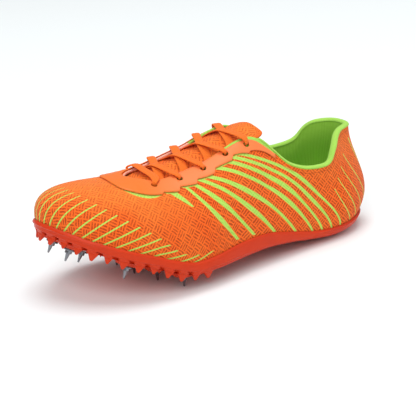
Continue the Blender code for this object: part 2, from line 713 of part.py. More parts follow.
def make_tongue(material, last):
    bm = bmesh.new()
    sections = []
    crowded = np.sin(np.linspace(0, math.pi / 2, TONGUE_STATIONS))
    for share in TONGUE_FROM + (TONGUE_TO - TONGUE_FROM) * crowded:
        half = TONGUE_HALF + (TOP_HALF - TONGUE_HALF) * float(ramp(share, NARROWS_FROM, NARROWS_TO))
        half = half * (FRONT_SHARE + (1 - FRONT_SHARE) * float(ramp(share, TONGUE_FROM, 0.0)))
        rounding = max(share - ROUND_FROM, 0.0) / (TONGUE_TO - ROUND_FROM)
        half = half * (TIP_SHARE + (1 - TIP_SHARE) * math.sqrt(max(1 - rounding ** 2, 0.0)))
        across = np.linspace(-half, half, TONGUE_POINTS)
        top = [tongue_point(share, a, 0.0) for a in across]
        low = [tongue_point(share, a, TONGUE_THICK) for a in across[::-1]]
        sections.append(top + low)
    add_swept(bm, sections)
    new_object("tongue", bm, material, last)


def eyestay_turns():
    """Turns along the film, with a pair at each step of its lower edge."""
    start = between("quarter_lat", "instep_lat", EYESTAY_ENDS)
    end = between("quarter_med", "instep_med", EYESTAY_ENDS)
    turns = [start] + list(TURNS[(TURNS > start) & (TURNS < end)]) + [end]
    for near, far in (("instep_lat", "tread_lat"), ("instep_med", "ball_med")):
        for k in range(1, STEP_COUNT):
            for nudge in (-STEP_SHARP, STEP_SHARP):
                turns.append(between(near, far, (k + 0.5 * nudge) / STEP_COUNT))
    return np.array(sorted(turns))


def eyestay_width(turn):
    """Width of the film, with a saw edge beside the eyelets."""
    knots = [turn_of(name) for name in column(EYESTAY, EYESTAY_COLUMNS, "ray")]
    width = through(knots, column(EYESTAY, EYESTAY_COLUMNS, "width"), turn)
    for near, far in (("instep_lat", "tread_lat"), ("instep_med", "ball_med")):
        share = (turn - turn_of(near)) / (turn_of(far) - turn_of(near))
        inside = (share > 0) & (share < 1)
        width = width + np.where(inside, STEP_DEPTH * (0.5 - (share * STEP_COUNT) % 1.0), 0.0)
    return width


def make_eyestay(material, eyelet_tool, last):
    turns = eyestay_turns()
    widths = eyestay_width(turns)
    sections = []
    for turn, width in zip(turns, widths):
        below = np.linspace(width, EYESTAY_EDGE, EYESTAY_POINTS)
        climbs = climb_at(turn, below, True)
        outer = skin(turn, climbs, GAP + EYESTAY_THICK)
        inner = skin(turn, climbs[::-1], GAP)
        sections.append(np.concatenate([outer, inner]))
    bm = bmesh.new()
    add_swept(bm, sections)
    eyestay = new_object("eyestay", bm, material, last)
    combine(eyestay, eyelet_tool, "DIFFERENCE")


def make_eyelet_tool(last):
    """Pins that punch the eyelets through the film and the upper."""
    bm = bmesh.new()
    for along in EYELETS_ALONG:
        for side in (1, -1):
            turn = throat_turn(along * LENGTH, side)
            climb = climb_at(turn, EYELET_BELOW, True)
            centre = Vector(skin(turn, climb))
            turned = Vector(skin_normal(turn, climb)).to_track_quat("Z", "Y").to_matrix().to_4x4()
            profile = ((EYELET_HOLE / 2, -EYELET_REACH), (EYELET_HOLE / 2, EYELET_REACH))
            add_turned(bm, profile, EYELET_SIDES, Matrix.Translation(centre) @ turned)
    return new_cutter("eyelet_tool", bm, last)


def make_collar_binding(material, last):
    """Rolled edge on the collar's rim, from the outer top eyelet round the heel to the inner one."""
    start = between("quarter_med", "instep_med", BINDING_ENDS) - 1.0
    end = between("quarter_lat", "instep_lat", BINDING_ENDS)
    turns = np.concatenate([TURNS - 1.0, TURNS])
    sections = []
    for turn in turns[(turns > start) & (turns < end)]:
        normal = skin_normal(turn, 1.0)
        up = bare_skin(turn, 1.0) - bare_skin(turn, 0.99)
        up = up / np.linalg.norm(up)
        thick = float(wall_thickness(turn, 1.0))
        centre = bare_skin(turn, 1.0) - normal * thick / 2 + up * BINDING_GAP
        across = normal * (thick / 2 + BINDING_OVER)
        angles = np.linspace(0.0, math.pi, BINDING_SIDES)
        sections.append([centre + across * math.cos(a) + up * BINDING_HEIGHT * math.sin(a) for a in angles])
    bm = bmesh.new()
    add_swept(bm, sections)
    new_object("collar_binding", bm, material, last)


def make_spikes(material, last):
    for k, (plan, stands) in enumerate(spike_places()):
        seat = boss_height(plan, stands) + GAP
        profile = [
            (FLANGE_RADIUS, 0.0),
            (FLANGE_RADIUS, 0.7 * FLANGE_THICK),
            (FLANGE_RADIUS - FLANGE_CHAMFER, FLANGE_THICK),
            (SHANK_RADIUS, FLANGE_THICK),
            (TIP_RADIUS, SPIKE_LENGTH),
        ]
        bm = bmesh.new()
        frame = sole_frame(plan, upright=stands) @ Matrix.Translation((0, 0, seat))
        add_turned(bm, profile, SPIKE_SIDES, frame)
        new_object("spike_%d" % (k + 1), bm, material, last)


def centre_on_floor(last):
    """Move the last so that the middle of the shoe's box stands over the origin."""
    bpy.context.view_layer.update()
    depsgraph = bpy.context.evaluated_depsgraph_get()
    points = []
    for obj in bpy.data.objects:
        if obj.type == "MESH" and not obj.hide_render:
            points += [vertex.co.copy() for vertex in obj.evaluated_get(depsgraph).data.vertices]
    points = np.array(points)
    middle = (points.min(axis=0) + points.max(axis=0)) / 2
    last.location = (-middle[0], -middle[1], 0.0)


def main():
    for obj in list(bpy.data.objects):
        bpy.data.objects.remove(obj, do_unlink=True)
    last = bpy.data.objects.new("last", None)
    bpy.context.collection.objects.link(last)
    rubber = new_material("sole_red_orange", (0.80, 0.085, 0.03), 0.42)
    cloth = new_material("upper_orange_cloth", (0.92, 0.20, 0.045), 0.85)
    film = new_material("eyestay_peach_film", (1.00, 0.27, 0.085), 0.55)
    lining = new_material("lining_lime", (0.40, 0.73, 0.10), 0.90)
    cord = new_material("lace_orange", (0.90, 0.15, 0.035), 0.85)
    steel = new_material("spike_steel", (0.55, 0.55, 0.55), 0.30, 1.0)
    eyelet_tool = make_eyelet_tool(last)
    make_outsole(rubber, last)
    make_upper(cloth, eyelet_tool, last)
    make_insole(lining, last)
    make_tongue(cloth, last)
    make_eyestay(film, eyelet_tool, last)
    make_collar_binding(lining, last)
    make_lace(cord, last)
    make_spikes(steel, last)
    centre_on_floor(last)


main()
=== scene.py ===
# %% [markdown]
# # A left track and field shoe
# The real shoe is a hollow cloth upper on a stiff moulded sole, with eight steel pins under the forefoot.
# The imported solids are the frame: they fix the place and the size of every piece. This lesson dresses that
# frame, piece by piece, in woven cloth, film, lace, lining, rubber and steel.

# %% Load the frame
import math

import bpy
import numpy as np
from mathutils import Matrix, Vector


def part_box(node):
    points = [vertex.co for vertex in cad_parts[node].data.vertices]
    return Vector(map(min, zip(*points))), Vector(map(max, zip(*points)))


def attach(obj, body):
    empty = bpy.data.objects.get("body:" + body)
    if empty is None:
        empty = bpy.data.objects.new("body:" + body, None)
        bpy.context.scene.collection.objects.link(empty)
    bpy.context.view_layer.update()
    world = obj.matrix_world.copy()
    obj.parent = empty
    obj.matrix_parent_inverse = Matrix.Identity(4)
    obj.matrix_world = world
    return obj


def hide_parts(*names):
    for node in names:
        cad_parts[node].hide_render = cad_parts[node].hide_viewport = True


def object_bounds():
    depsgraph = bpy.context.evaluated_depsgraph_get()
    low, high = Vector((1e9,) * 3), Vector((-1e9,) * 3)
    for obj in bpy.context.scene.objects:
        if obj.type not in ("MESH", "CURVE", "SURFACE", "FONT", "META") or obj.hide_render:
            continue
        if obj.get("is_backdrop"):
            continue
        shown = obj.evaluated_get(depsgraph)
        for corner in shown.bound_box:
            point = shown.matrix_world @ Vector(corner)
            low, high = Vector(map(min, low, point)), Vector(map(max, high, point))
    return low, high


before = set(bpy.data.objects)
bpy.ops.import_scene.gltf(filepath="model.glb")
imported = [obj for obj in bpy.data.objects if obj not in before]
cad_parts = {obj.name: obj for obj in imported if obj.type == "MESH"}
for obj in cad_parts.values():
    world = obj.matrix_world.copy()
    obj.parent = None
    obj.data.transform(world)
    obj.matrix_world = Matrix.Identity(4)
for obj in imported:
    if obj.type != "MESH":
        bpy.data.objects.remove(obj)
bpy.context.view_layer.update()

MM = 0.001

# %% [markdown]
# ## The last
# A shoemaker pulls the upper over a last. The script keeps the same last as the solids: rays fan round the
# feather line, where the upper meets the sole, and each climbs one curve to the collar or the throat. A
# scan or a sculpt could give the shape too, but with rays every piece can lie exactly on the one below it.

# %% Sizes of the last and its rays
LENGTH, BALL_WIDTH, INSTEP_HEIGHT, HEEL_HEIGHT = 276.0, 94.0, 95.0, 82.0
RAY_COLUMNS = ("name", "foot_along", "foot_across", "top_along", "top_across", "top_rise", "rise_of",
               "wall_out", "wall_up", "crown_reach", "crown_drop", "pad")
RAYS = [
    ("heel_back", 0.004, 0.000, 0.029, 0.000, 1.000, HEEL_HEIGHT, 18.0, 22.0, 0.00, 24.0, 2.0),
    ("heel_turn_lat", 0.012, 0.112, 0.038, 0.101, 1.000, HEEL_HEIGHT, 17.0, 22.0, 0.05, 24.0, 2.0),
    ("heel_lat", 0.036, 0.207, 0.087, 0.181, 0.991, HEEL_HEIGHT, 14.0, 22.0, 0.10, 24.0, 2.0),
    ("counter_lat", 0.100, 0.319, 0.132, 0.282, 0.872, HEEL_HEIGHT, 9.0, 22.0, 0.10, 20.0, 2.0),
    ("cup_lat", 0.159, 0.351, 0.160, 0.321, 0.768, HEEL_HEIGHT, 5.0, 20.0, 0.20, 15.0, 1.8),
    ("collar_lat", 0.225, 0.362, 0.203, 0.335, 0.754, HEEL_HEIGHT, 4.0, 20.0, 0.30, 14.0, 1.6),
    ("quarter_lat", 0.344, 0.394, 0.290, 0.303, 0.721, INSTEP_HEIGHT, 4.0, 22.0, 0.50, 16.0, 1.0),
    ("instep_lat", 0.471, 0.447, 0.388, 0.176, 0.984, INSTEP_HEIGHT, 3.0, 26.0, 0.60, 14.0, 0.0),
    ("ball_lat", 0.609, 0.516, 0.543, 0.149, 0.858, INSTEP_HEIGHT, 3.0, 26.0, 0.60, 10.0, 0.0),
    ("tread_lat", 0.725, 0.511, 0.659, 0.138, 0.805, INSTEP_HEIGHT, 3.0, 26.0, 0.60, 7.0, 0.0),
    ("toe_lat", 0.851, 0.399, 0.717, 0.090, 0.832, INSTEP_HEIGHT, 3.0, 27.0, 0.58, 3.0, 0.0),
    ("toe_corner", 0.931, 0.202, 0.732, 0.032, 0.838, INSTEP_HEIGHT, 4.0, 29.0, 0.56, 1.0, 0.0),
    ("toe_tip", 0.979, -0.117, 0.736, -0.032, 0.830, INSTEP_HEIGHT, 4.5, 30.0, 0.56, 0.0, 0.0),
    ("toe_big", 0.937, -0.362, 0.730, -0.096, 0.825, INSTEP_HEIGHT, 5.0, 33.0, 0.56, 1.0, 0.0),
    ("toe_med", 0.862, -0.463, 0.710, -0.154, 0.822, INSTEP_HEIGHT, 3.0, 31.0, 0.58, 3.0, 0.0),
    ("ball_med", 0.743, -0.473, 0.652, -0.181, 0.838, INSTEP_HEIGHT, 3.0, 26.0, 0.60, 7.0, 0.0),
    ("tread_med", 0.609, -0.410, 0.540, -0.191, 0.905, INSTEP_HEIGHT, 3.0, 28.0, 0.60, 10.0, 0.0),
    ("instep_med", 0.471, -0.324, 0.388, -0.197, 1.000, INSTEP_HEIGHT, 3.0, 28.0, 0.60, 14.0, 0.0),
    ("quarter_med", 0.344, -0.303, 0.290, -0.293, 0.742, INSTEP_HEIGHT, 3.0, 24.0, 0.50, 16.0, 1.0),
    ("collar_med", 0.225, -0.335, 0.199, -0.324, 0.780, HEEL_HEIGHT, 3.0, 22.0, 0.30, 14.0, 1.6),
    ("cup_med", 0.159, -0.340, 0.138, -0.303, 0.817, HEEL_HEIGHT, 4.0, 20.0, 0.20, 15.0, 1.8),
    ("counter_med", 0.100, -0.314, 0.105, -0.257, 0.935, HEEL_HEIGHT, 9.0, 22.0, 0.10, 20.0, 2.0),
    ("heel_med", 0.036, -0.207, 0.068, -0.162, 1.000, HEEL_HEIGHT, 14.0, 22.0, 0.10, 24.0, 2.0),
    ("heel_turn_med", 0.012, -0.112, 0.037, -0.098, 1.000, HEEL_HEIGHT, 17.0, 22.0, 0.05, 24.0, 2.0),
]
SOLE_COLUMNS = ("along", "bed", "bottom", "lip", "tuck", "dish", "reach")
SOLE = [
    (-0.043, 13.0, 8.8, 1.2, 12.0, 0.0, 0.5),
    (0.000, 12.6, 5.8, 1.2, 13.0, 0.0, 0.5),
    (0.029, 12.2, 1.8, 1.2, 14.5, 0.0, 0.5),
    (0.058, 11.6, 0.0, 1.2, 16.0, 0.0, 0.5),
    (0.145, 10.2, 0.0, 1.3, 18.0, 0.0, 0.6),
    (0.225, 11.2, 3.4, 2.2, 16.0, 0.6, 0.8),
    (0.333, 14.8, 8.8, 4.6, 9.5, 1.8, 1.0),
    (0.442, 18.0, 12.0, 7.0, 5.5, 2.2, 1.0),
    (0.551, 19.4, 12.4, 6.0, 3.0, 2.0, 1.0),
    (0.652, 20.0, 12.6, 3.0, 1.6, 0.0, 1.0),
    (0.710, 20.8, 13.2, 2.2, 1.2, 0.0, 1.0),
    (0.768, 26.0, 18.6, 2.2, 1.2, 0.0, 1.0),
    (0.833, 35.0, 28.0, 2.4, 1.2, 0.0, 0.9),
    (0.906, 46.0, 39.6, 2.8, 1.2, 0.0, 0.7),
    (0.978, 57.0, 51.0, 3.0, 1.2, 0.0, 0.5),
    (1.051, 67.5, 62.0, 3.0, 1.2, 0.0, 0.5),
]
SLANT, SLANT_LEFT = 0.36, 0.4
SLANT_STARTS, SLANT_FULL, SLANT_FADES, SLANT_FADED = 60.0, 120.0, 205.0, 250.0
GAP, WALL = 0.3, 2.0
PAD_STARTS, PAD_FULL = 0.45, 0.90
CLIMB_STEPS, FINE_STEPS, NEAR_RIM, CROWDING = 81, 400, 0.99, 0.35
print("rays:", len(RAYS), "sole sections:", len(SOLE))


# %% Curves on the last
def column(table, columns, name):
    """One named column of a table."""
    return [row[columns.index(name)] for row in table]


def through(knots, values, at):
    """Smooth curve through the rows of a table, held at its ends."""
    knots, values = np.asarray(knots, float), np.asarray(values, float)
    steps = np.diff(knots)
    rates = np.diff(values) / steps
    inner = (rates[:-1] * steps[1:] + rates[1:] * steps[:-1]) / (steps[:-1] + steps[1:])
    slopes = np.concatenate([rates[:1], inner, rates[-1:]])
    at = np.clip(at, knots[0], knots[-1])
    i = np.clip(np.searchsorted(knots, at, side="right") - 1, 0, len(steps) - 1)
    s = (at - knots[i]) / steps[i]
    ends = values[i] * (1 + 2 * s) * (1 - s) ** 2 + values[i + 1] * s * s * (3 - 2 * s)
    return ends + steps[i] * (slopes[i] * s * (1 - s) ** 2 - slopes[i + 1] * s * s * (1 - s))


def ramp(at, low, high):
    """0 below low, 1 above high, smooth between."""
    s = np.clip((np.asarray(at, float) - low) / (high - low), 0.0, 1.0)
    return s * s * (3 - 2 * s)


def unit(vectors):
    """Vectors brought to length one."""
    return vectors / np.linalg.norm(vectors, axis=-1, keepdims=True)


def run_along(points):
    """Distance along a line of points, from 0 at the first."""
    return np.concatenate([[0], np.cumsum(np.linalg.norm(np.diff(points, axis=0), axis=1))])


def ray_values(name):
    """A column of the rays in millimetres."""
    values = np.array(column(RAYS, RAY_COLUMNS, name), float)
    if name.endswith("along"):
        return values * LENGTH
    if name.endswith("across"):
        return values * BALL_WIDTH
    if name == "top_rise":
        return values * np.array(column(RAYS, RAY_COLUMNS, "rise_of"))
    return values


feet = np.stack([ray_values("foot_along"), ray_values("foot_across")], axis=1)
girth_run = np.cumsum(np.linalg.norm(np.roll(feet, -1, axis=0) - feet, axis=1))
RAY_TURNS = np.concatenate([[0.0], girth_run / girth_run[-1]])
RAY_NAMES = column(RAYS, RAY_COLUMNS, "name")


def turn_of(name):
    """Turn of a named ray, from 0 at the heel back to 1 there again."""
    return RAY_TURNS[RAY_NAMES.index(name)]


def between(name, other, share):
    """Turn at a share of the way from one named ray to another."""
    return turn_of(name) + (turn_of(other) - turn_of(name)) * share


def share_between(name, other, turn):
    """Share of the way from one named ray to another at a turn."""
    return (turn - turn_of(name)) / (turn_of(other) - turn_of(name))


def round_rays(name, turn):
    """Smooth closed curve through a column of the rays."""
    values, reach = ray_values(name), 3
    knots = np.concatenate([RAY_TURNS[-1 - reach:-1] - 1, RAY_TURNS, RAY_TURNS[1:1 + reach] + 1])
    values = np.concatenate([values[-reach:], values, values[:1 + reach]])
    return through(knots, values, np.asarray(turn, float) % 1.0)


def foot_plan(turn):
    """Point of the feather line in plan."""
    return np.stack([round_rays("foot_along", turn), round_rays("foot_across", turn)], axis=-1)


def feather(turn):
    """Point of the feather line in plan, and the direction that faces out of the shoe there."""
    small = 1e-3
    run = unit(foot_plan(turn + small) - foot_plan(turn - small))
    return foot_plan(turn), np.stack([-run[..., 1], run[..., 0]], axis=-1)


def half_round(count):
    """Turns half way round the feather line from the heel back, closer together at both ends."""
    turns = np.linspace(0, 0.5, count + 1)
    return turns - CROWDING * np.sin(4 * math.pi * turns) / (4 * math.pi)


def sole_value(name, xy):
    """A column of the sole's sections in plan, square to the slanting bend of the ball, never below 0."""
    x, y = xy[..., 0], xy[..., 1]
    grows = np.clip((x - SLANT_STARTS) / (SLANT_FULL - SLANT_STARTS), 0, 1)
    fades = np.clip((x - SLANT_FADES) / (SLANT_FADED - SLANT_FADES), 0, 1)
    slanted = x + SLANT * y * grows * (1 - (1 - SLANT_LEFT) * fades)
    along = np.array(column(SOLE, SOLE_COLUMNS, "along")) * LENGTH
    return np.maximum(through(along, column(SOLE, SOLE_COLUMNS, name), slanted), 0.0)


def on_height(xy, z):
    """Points in space from points in plan and their heights."""
    return np.concatenate([xy, np.broadcast_to(z, xy.shape[:-1])[..., None]], axis=-1)


# %% The skin of the last
def bare_skin(turn, climb):
    """The upper's outer face: a cubic from the feather line (climb 0) to the collar or throat (1)."""
    turn, climb = np.broadcast_arrays(np.asarray(turn, float), np.asarray(climb, float))
    plan, out = feather(turn)
    foot = on_height(plan, sole_value("bed", plan) + GAP)
    top = np.stack([round_rays("top_along", turn), round_rays("top_across", turn),
                    round_rays("top_rise", turn)], axis=-1)
    wall = foot + on_height(out * round_rays("wall_out", turn)[..., None], round_rays("wall_up", turn))
    back = (plan - top[..., :2]) * round_rays("crown_reach", turn)[..., None]
    crown = top + on_height(back, -round_rays("crown_drop", turn))
    c = climb[..., None]
    return (1 - c) ** 3 * foot + 3 * c * (1 - c) ** 2 * wall + 3 * c * c * (1 - c) * crown + c ** 3 * top


def skin_normal(turn, climb):
    """Unit direction out of the upper."""
    small = 1e-3
    up = bare_skin(turn, climb + small) - bare_skin(turn, climb - small)
    run = bare_skin(turn + small, climb) - bare_skin(turn - small, climb)
    return unit(np.cross(up, run))


def skin(turn, climb, lift=0.0):
    """The upper's outer face, moved out by lift."""
    turn, climb, lift = np.broadcast_arrays(np.asarray(turn, float), np.asarray(climb, float), lift)
    return bare_skin(turn, climb) + skin_normal(turn, climb) * lift[..., None]


def climb_at(turn, distance, from_top=False):
    """Climb at a distance along the ray, measured from the feather line or from the top."""
    turn, distance = np.broadcast_arrays(np.asarray(turn, float), np.asarray(distance, float))
    climbs = np.linspace(0.0, 1.0, CLIMB_STEPS)
    steps = np.linalg.norm(np.diff(bare_skin(turn[..., None], climbs), axis=-2), axis=-1)
    run = np.concatenate([np.zeros(turn.shape + (1,)), np.cumsum(steps, axis=-1)], axis=-1)
    wanted = run[..., -1] - distance if from_top else distance
    found = [np.interp(w, r, climbs) for w, r in zip(wanted.ravel(), run.reshape(-1, run.shape[-1]))]
    return np.array(found).reshape(turn.shape)


def wall_thickness(turn, climb):
    """The upper's wall, thicker where the collar is padded."""
    return WALL + round_rays("pad", turn) * ramp(climb, PAD_STARTS, PAD_FULL)


def rim_rise(turn):
    """Unit direction in which the wall runs out at its top edge."""
    return unit(bare_skin(turn, 1.0) - bare_skin(turn, NEAR_RIM))


# %% Where the last stands in the frame
# Each pin: its place in shares of the last's length and ball width, and whether the shoe stands on it.
SPIKES = [
    (0.656, 0.367, True),
    (0.692, 0.138, True),
    (0.719, -0.096, True),
    (0.729, -0.340, True),
    (0.797, 0.266, False),
    (0.917, 0.048, False),
    (0.924, -0.213, False),
    (0.826, -0.319, False),
]
first_pin = (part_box("spike_1")[0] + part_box("spike_1")[1]) / 2 / MM
LAST_AT = np.array([first_pin.x - SPIKES[0][0] * LENGTH, first_pin.y - SPIKES[0][1] * BALL_WIDTH, 0.0])
print("last starts at, mm:", LAST_AT.round(2))

# %% [markdown]
# ## Wrapping a grid
# Cloth, film and lace are sheets, so each starts as Blender's own grid primitive, and its corners are moved
# on to the last. Modelling such sheets by extruding would give the same faces with far more steps. Corners
# that meet at a seam or a pole are merged, and the normals are turned out.


# %% A grid on the last
MERGE_MM, SHEET_MM = 0.005, 100.0


def wrap_grid(name, points):
    """A grid primitive whose corners are moved to an array of points on the last."""
    columns, rows = points.shape[0] - 1, points.shape[1] - 1
    bpy.ops.object.select_all(action="DESELECT")
    bpy.ops.mesh.primitive_grid_add(x_subdivisions=columns, y_subdivisions=rows, size=2.0)
    obj = bpy.context.object
    obj.name = obj.data.name = name
    flat = np.empty(len(obj.data.vertices) * 3)
    obj.data.vertices.foreach_get("co", flat)
    flat = flat.reshape(-1, 3)
    i = np.rint((flat[:, 0] + 1) / 2 * columns).astype(int)
    j = np.rint((flat[:, 1] + 1) / 2 * rows).astype(int)
    obj.data.vertices.foreach_set("co", ((points[i, j] + LAST_AT) * MM).ravel())
    bpy.ops.object.mode_set(mode="EDIT")
    bpy.ops.mesh.select_all(action="SELECT")
    bpy.ops.mesh.remove_doubles(threshold=MERGE_MM * MM)
    bpy.ops.mesh.normals_make_consistent(inside=False)
    bpy.ops.object.mode_set(mode="OBJECT")
    bpy.ops.object.shade_smooth()
    return obj


def corner_places(obj):
    """Each face corner's place on the grid, as shares along its columns and rows."""
    flat = np.empty(len(obj.data.loops) * 2, np.float32)
    obj.data.uv_layers[0].data.foreach_get("uv", flat)
    return flat.reshape(-1, 2).astype(float)


def lay_cloth(obj, millimetres):
    """A UV map called cloth, in which one unit is SHEET_MM of the sheet."""
    layer = obj.data.uv_layers.new(name="cloth")
    layer.data.foreach_set("uv", (millimetres / SHEET_MM).astype(np.float32).ravel())


def sampled(table, i, j):
    """A table on the grid's corners, read between them."""
    i0 = np.clip(np.floor(i).astype(int), 0, table.shape[0] - 2)
    j0 = np.clip(np.floor(j).astype(int), 0, table.shape[1] - 2)
    extra = (1,) * (table.ndim - 2)
    s, t = (i - i0).reshape(-1, *extra), (j - j0).reshape(-1, *extra)
    near = table[i0, j0] * (1 - t) + table[i0, j0 + 1] * t
    far = table[i0 + 1, j0] * (1 - t) + table[i0 + 1, j0 + 1] * t
    return near * (1 - s) + far * s


def join(name, objects):
    """Several objects joined into the first."""
    bpy.ops.object.select_all(action="DESELECT")
    for obj in objects:
        obj.select_set(True)
    bpy.context.view_layer.objects.active = objects[0]
    bpy.ops.object.join()
    objects[0].name = objects[0].data.name = name
    return objects[0]


def apply_modifier(obj, kind, **settings):
    """Add a modifier with its settings and apply it."""
    modifier = obj.modifiers.new(kind.lower(), kind)
    for key, value in settings.items():
        setattr(modifier, key, value)
    bpy.ops.object.select_all(action="DESELECT")
    bpy.context.view_layer.objects.active = obj
    obj.select_set(True)
    bpy.ops.object.modifier_apply(modifier=modifier.name)


# %% [markdown]
# ## Materials
# Every material is made from nodes. One function turns an sRGB colour to the linear values that Blender
# mixes, one adds a node and links it, and one links the finished relief, colour and roughness to the shader.
# Image textures could hold the weave too, but nodes stay sharp at any size and need no file.


# %% Colours and nodes
def hex_colour(text):
    """Linear colour from an sRGB hex value."""
    parts = [int(text[k:k + 2], 16) / 255 for k in (1, 3, 5)]
    return tuple(p / 12.92 if p <= 0.04045 else ((p + 0.055) / 1.055) ** 2.4 for p in parts) + (1.0,)


def new_material(name, **surface):
    """A material whose shader sockets are set by name, with an underscore for each space."""
    material = bpy.data.materials.new(name)
    material.use_nodes = True
    shader = material.node_tree.nodes["Principled BSDF"]
    for key, value in surface.items():
        shader.inputs[key.replace("_", " ").title().replace("Ior", "IOR")].default_value = value
    return material, material.node_tree, shader


def add_node(tree, kind, sockets=None, **settings):
    """Add a shader node, set it up, and fill its sockets with values or links."""
    node = tree.nodes.new("ShaderNode" + kind)
    for key, value in settings.items():
        setattr(node, key, value)
    for socket, value in (sockets or {}).items():
        if isinstance(value, bpy.types.Node):
            value = value.outputs[0]
        if isinstance(value, bpy.types.NodeSocket):
            tree.links.new(value, node.inputs[socket])
        else:
            node.inputs[socket].default_value = value
    return node


def finish_surface(tree, shader, height, strength, deep_mm, tint=None, rough=None):
    """Link a material's relief to its shader, and its mixed colour and roughness where they are given."""
    bump = add_node(tree, "Bump", {"Height": height, "Strength": strength, "Distance": deep_mm * MM})
    tree.links.new(bump.outputs[0], shader.inputs["Normal"])
    if tint is not None:
        tree.links.new(tint.outputs[2], shader.inputs["Base Color"])
    if rough is not None:
        tree.links.new(rough.outputs[0], shader.inputs["Roughness"])


# %% [markdown]
# ### Woven cloth
# The upper is an engineered polyester cloth, woven in small blocks whose ribs turn by a quarter from block
# to block. Between the ribs a dark ground shows. Lime lines are printed on it. The block pattern is worked
# out in the cloth's own UV map, so that it follows the shoe, and the lines come from a mesh attribute.

# %% Woven cloth with printed lines
# The real blocks are about 5 mm wide. They are drawn a little coarser, so that the dashes show.
CLOTH_ORANGE, CLOTH_PATCH_AND_HIGHLIGHT, CLOTH_GROUND = (hex_colour(text) for text in ("#F2641F", "#FB8734", "#8C250D"))
PRINT_LIME, PRINT_SHADE, SEAM_SHADE = (hex_colour(text) for text in ("#B2DE62", "#86B93C", "#B03A12"))
BLOCK_MM, RIBS_PER_BLOCK, BLOCK_TURN = 6.2, 3, 45
UNEVEN_MM, UNEVEN_EVERY, THREAD_MM, PATCH_MM = 0.9, 2.5, 1.1, 22.0
DASH_HALF, DASH_SOFT, DASH_END, END_SOFT = 0.19, 0.16, 0.37, 0.10
# How pale the orange turns: in random patches, and where the weave is faint. On the vamp's top that paleness
# is a painted highlight.
PALE_PRINTED, PALE_PLAIN, HIGHLIGHT_PALE = (0.0, 0.35), (0.45, 0.8), 0.52
WEAVE_PLAIN, WEAVE_FULL, WEAVE_FAINT = 0.5, 0.72, 0.4
LINE_SOFT, INK_SOFT, FRINGE_SOFT, INK_WORN = 0.15, 0.4, 0.35, 0.4
SEAM_BELOW, SEAM_HALF, SEAM_SOFT, SEAM_DARK = 0.3, 0.2, 0.6, 0.45


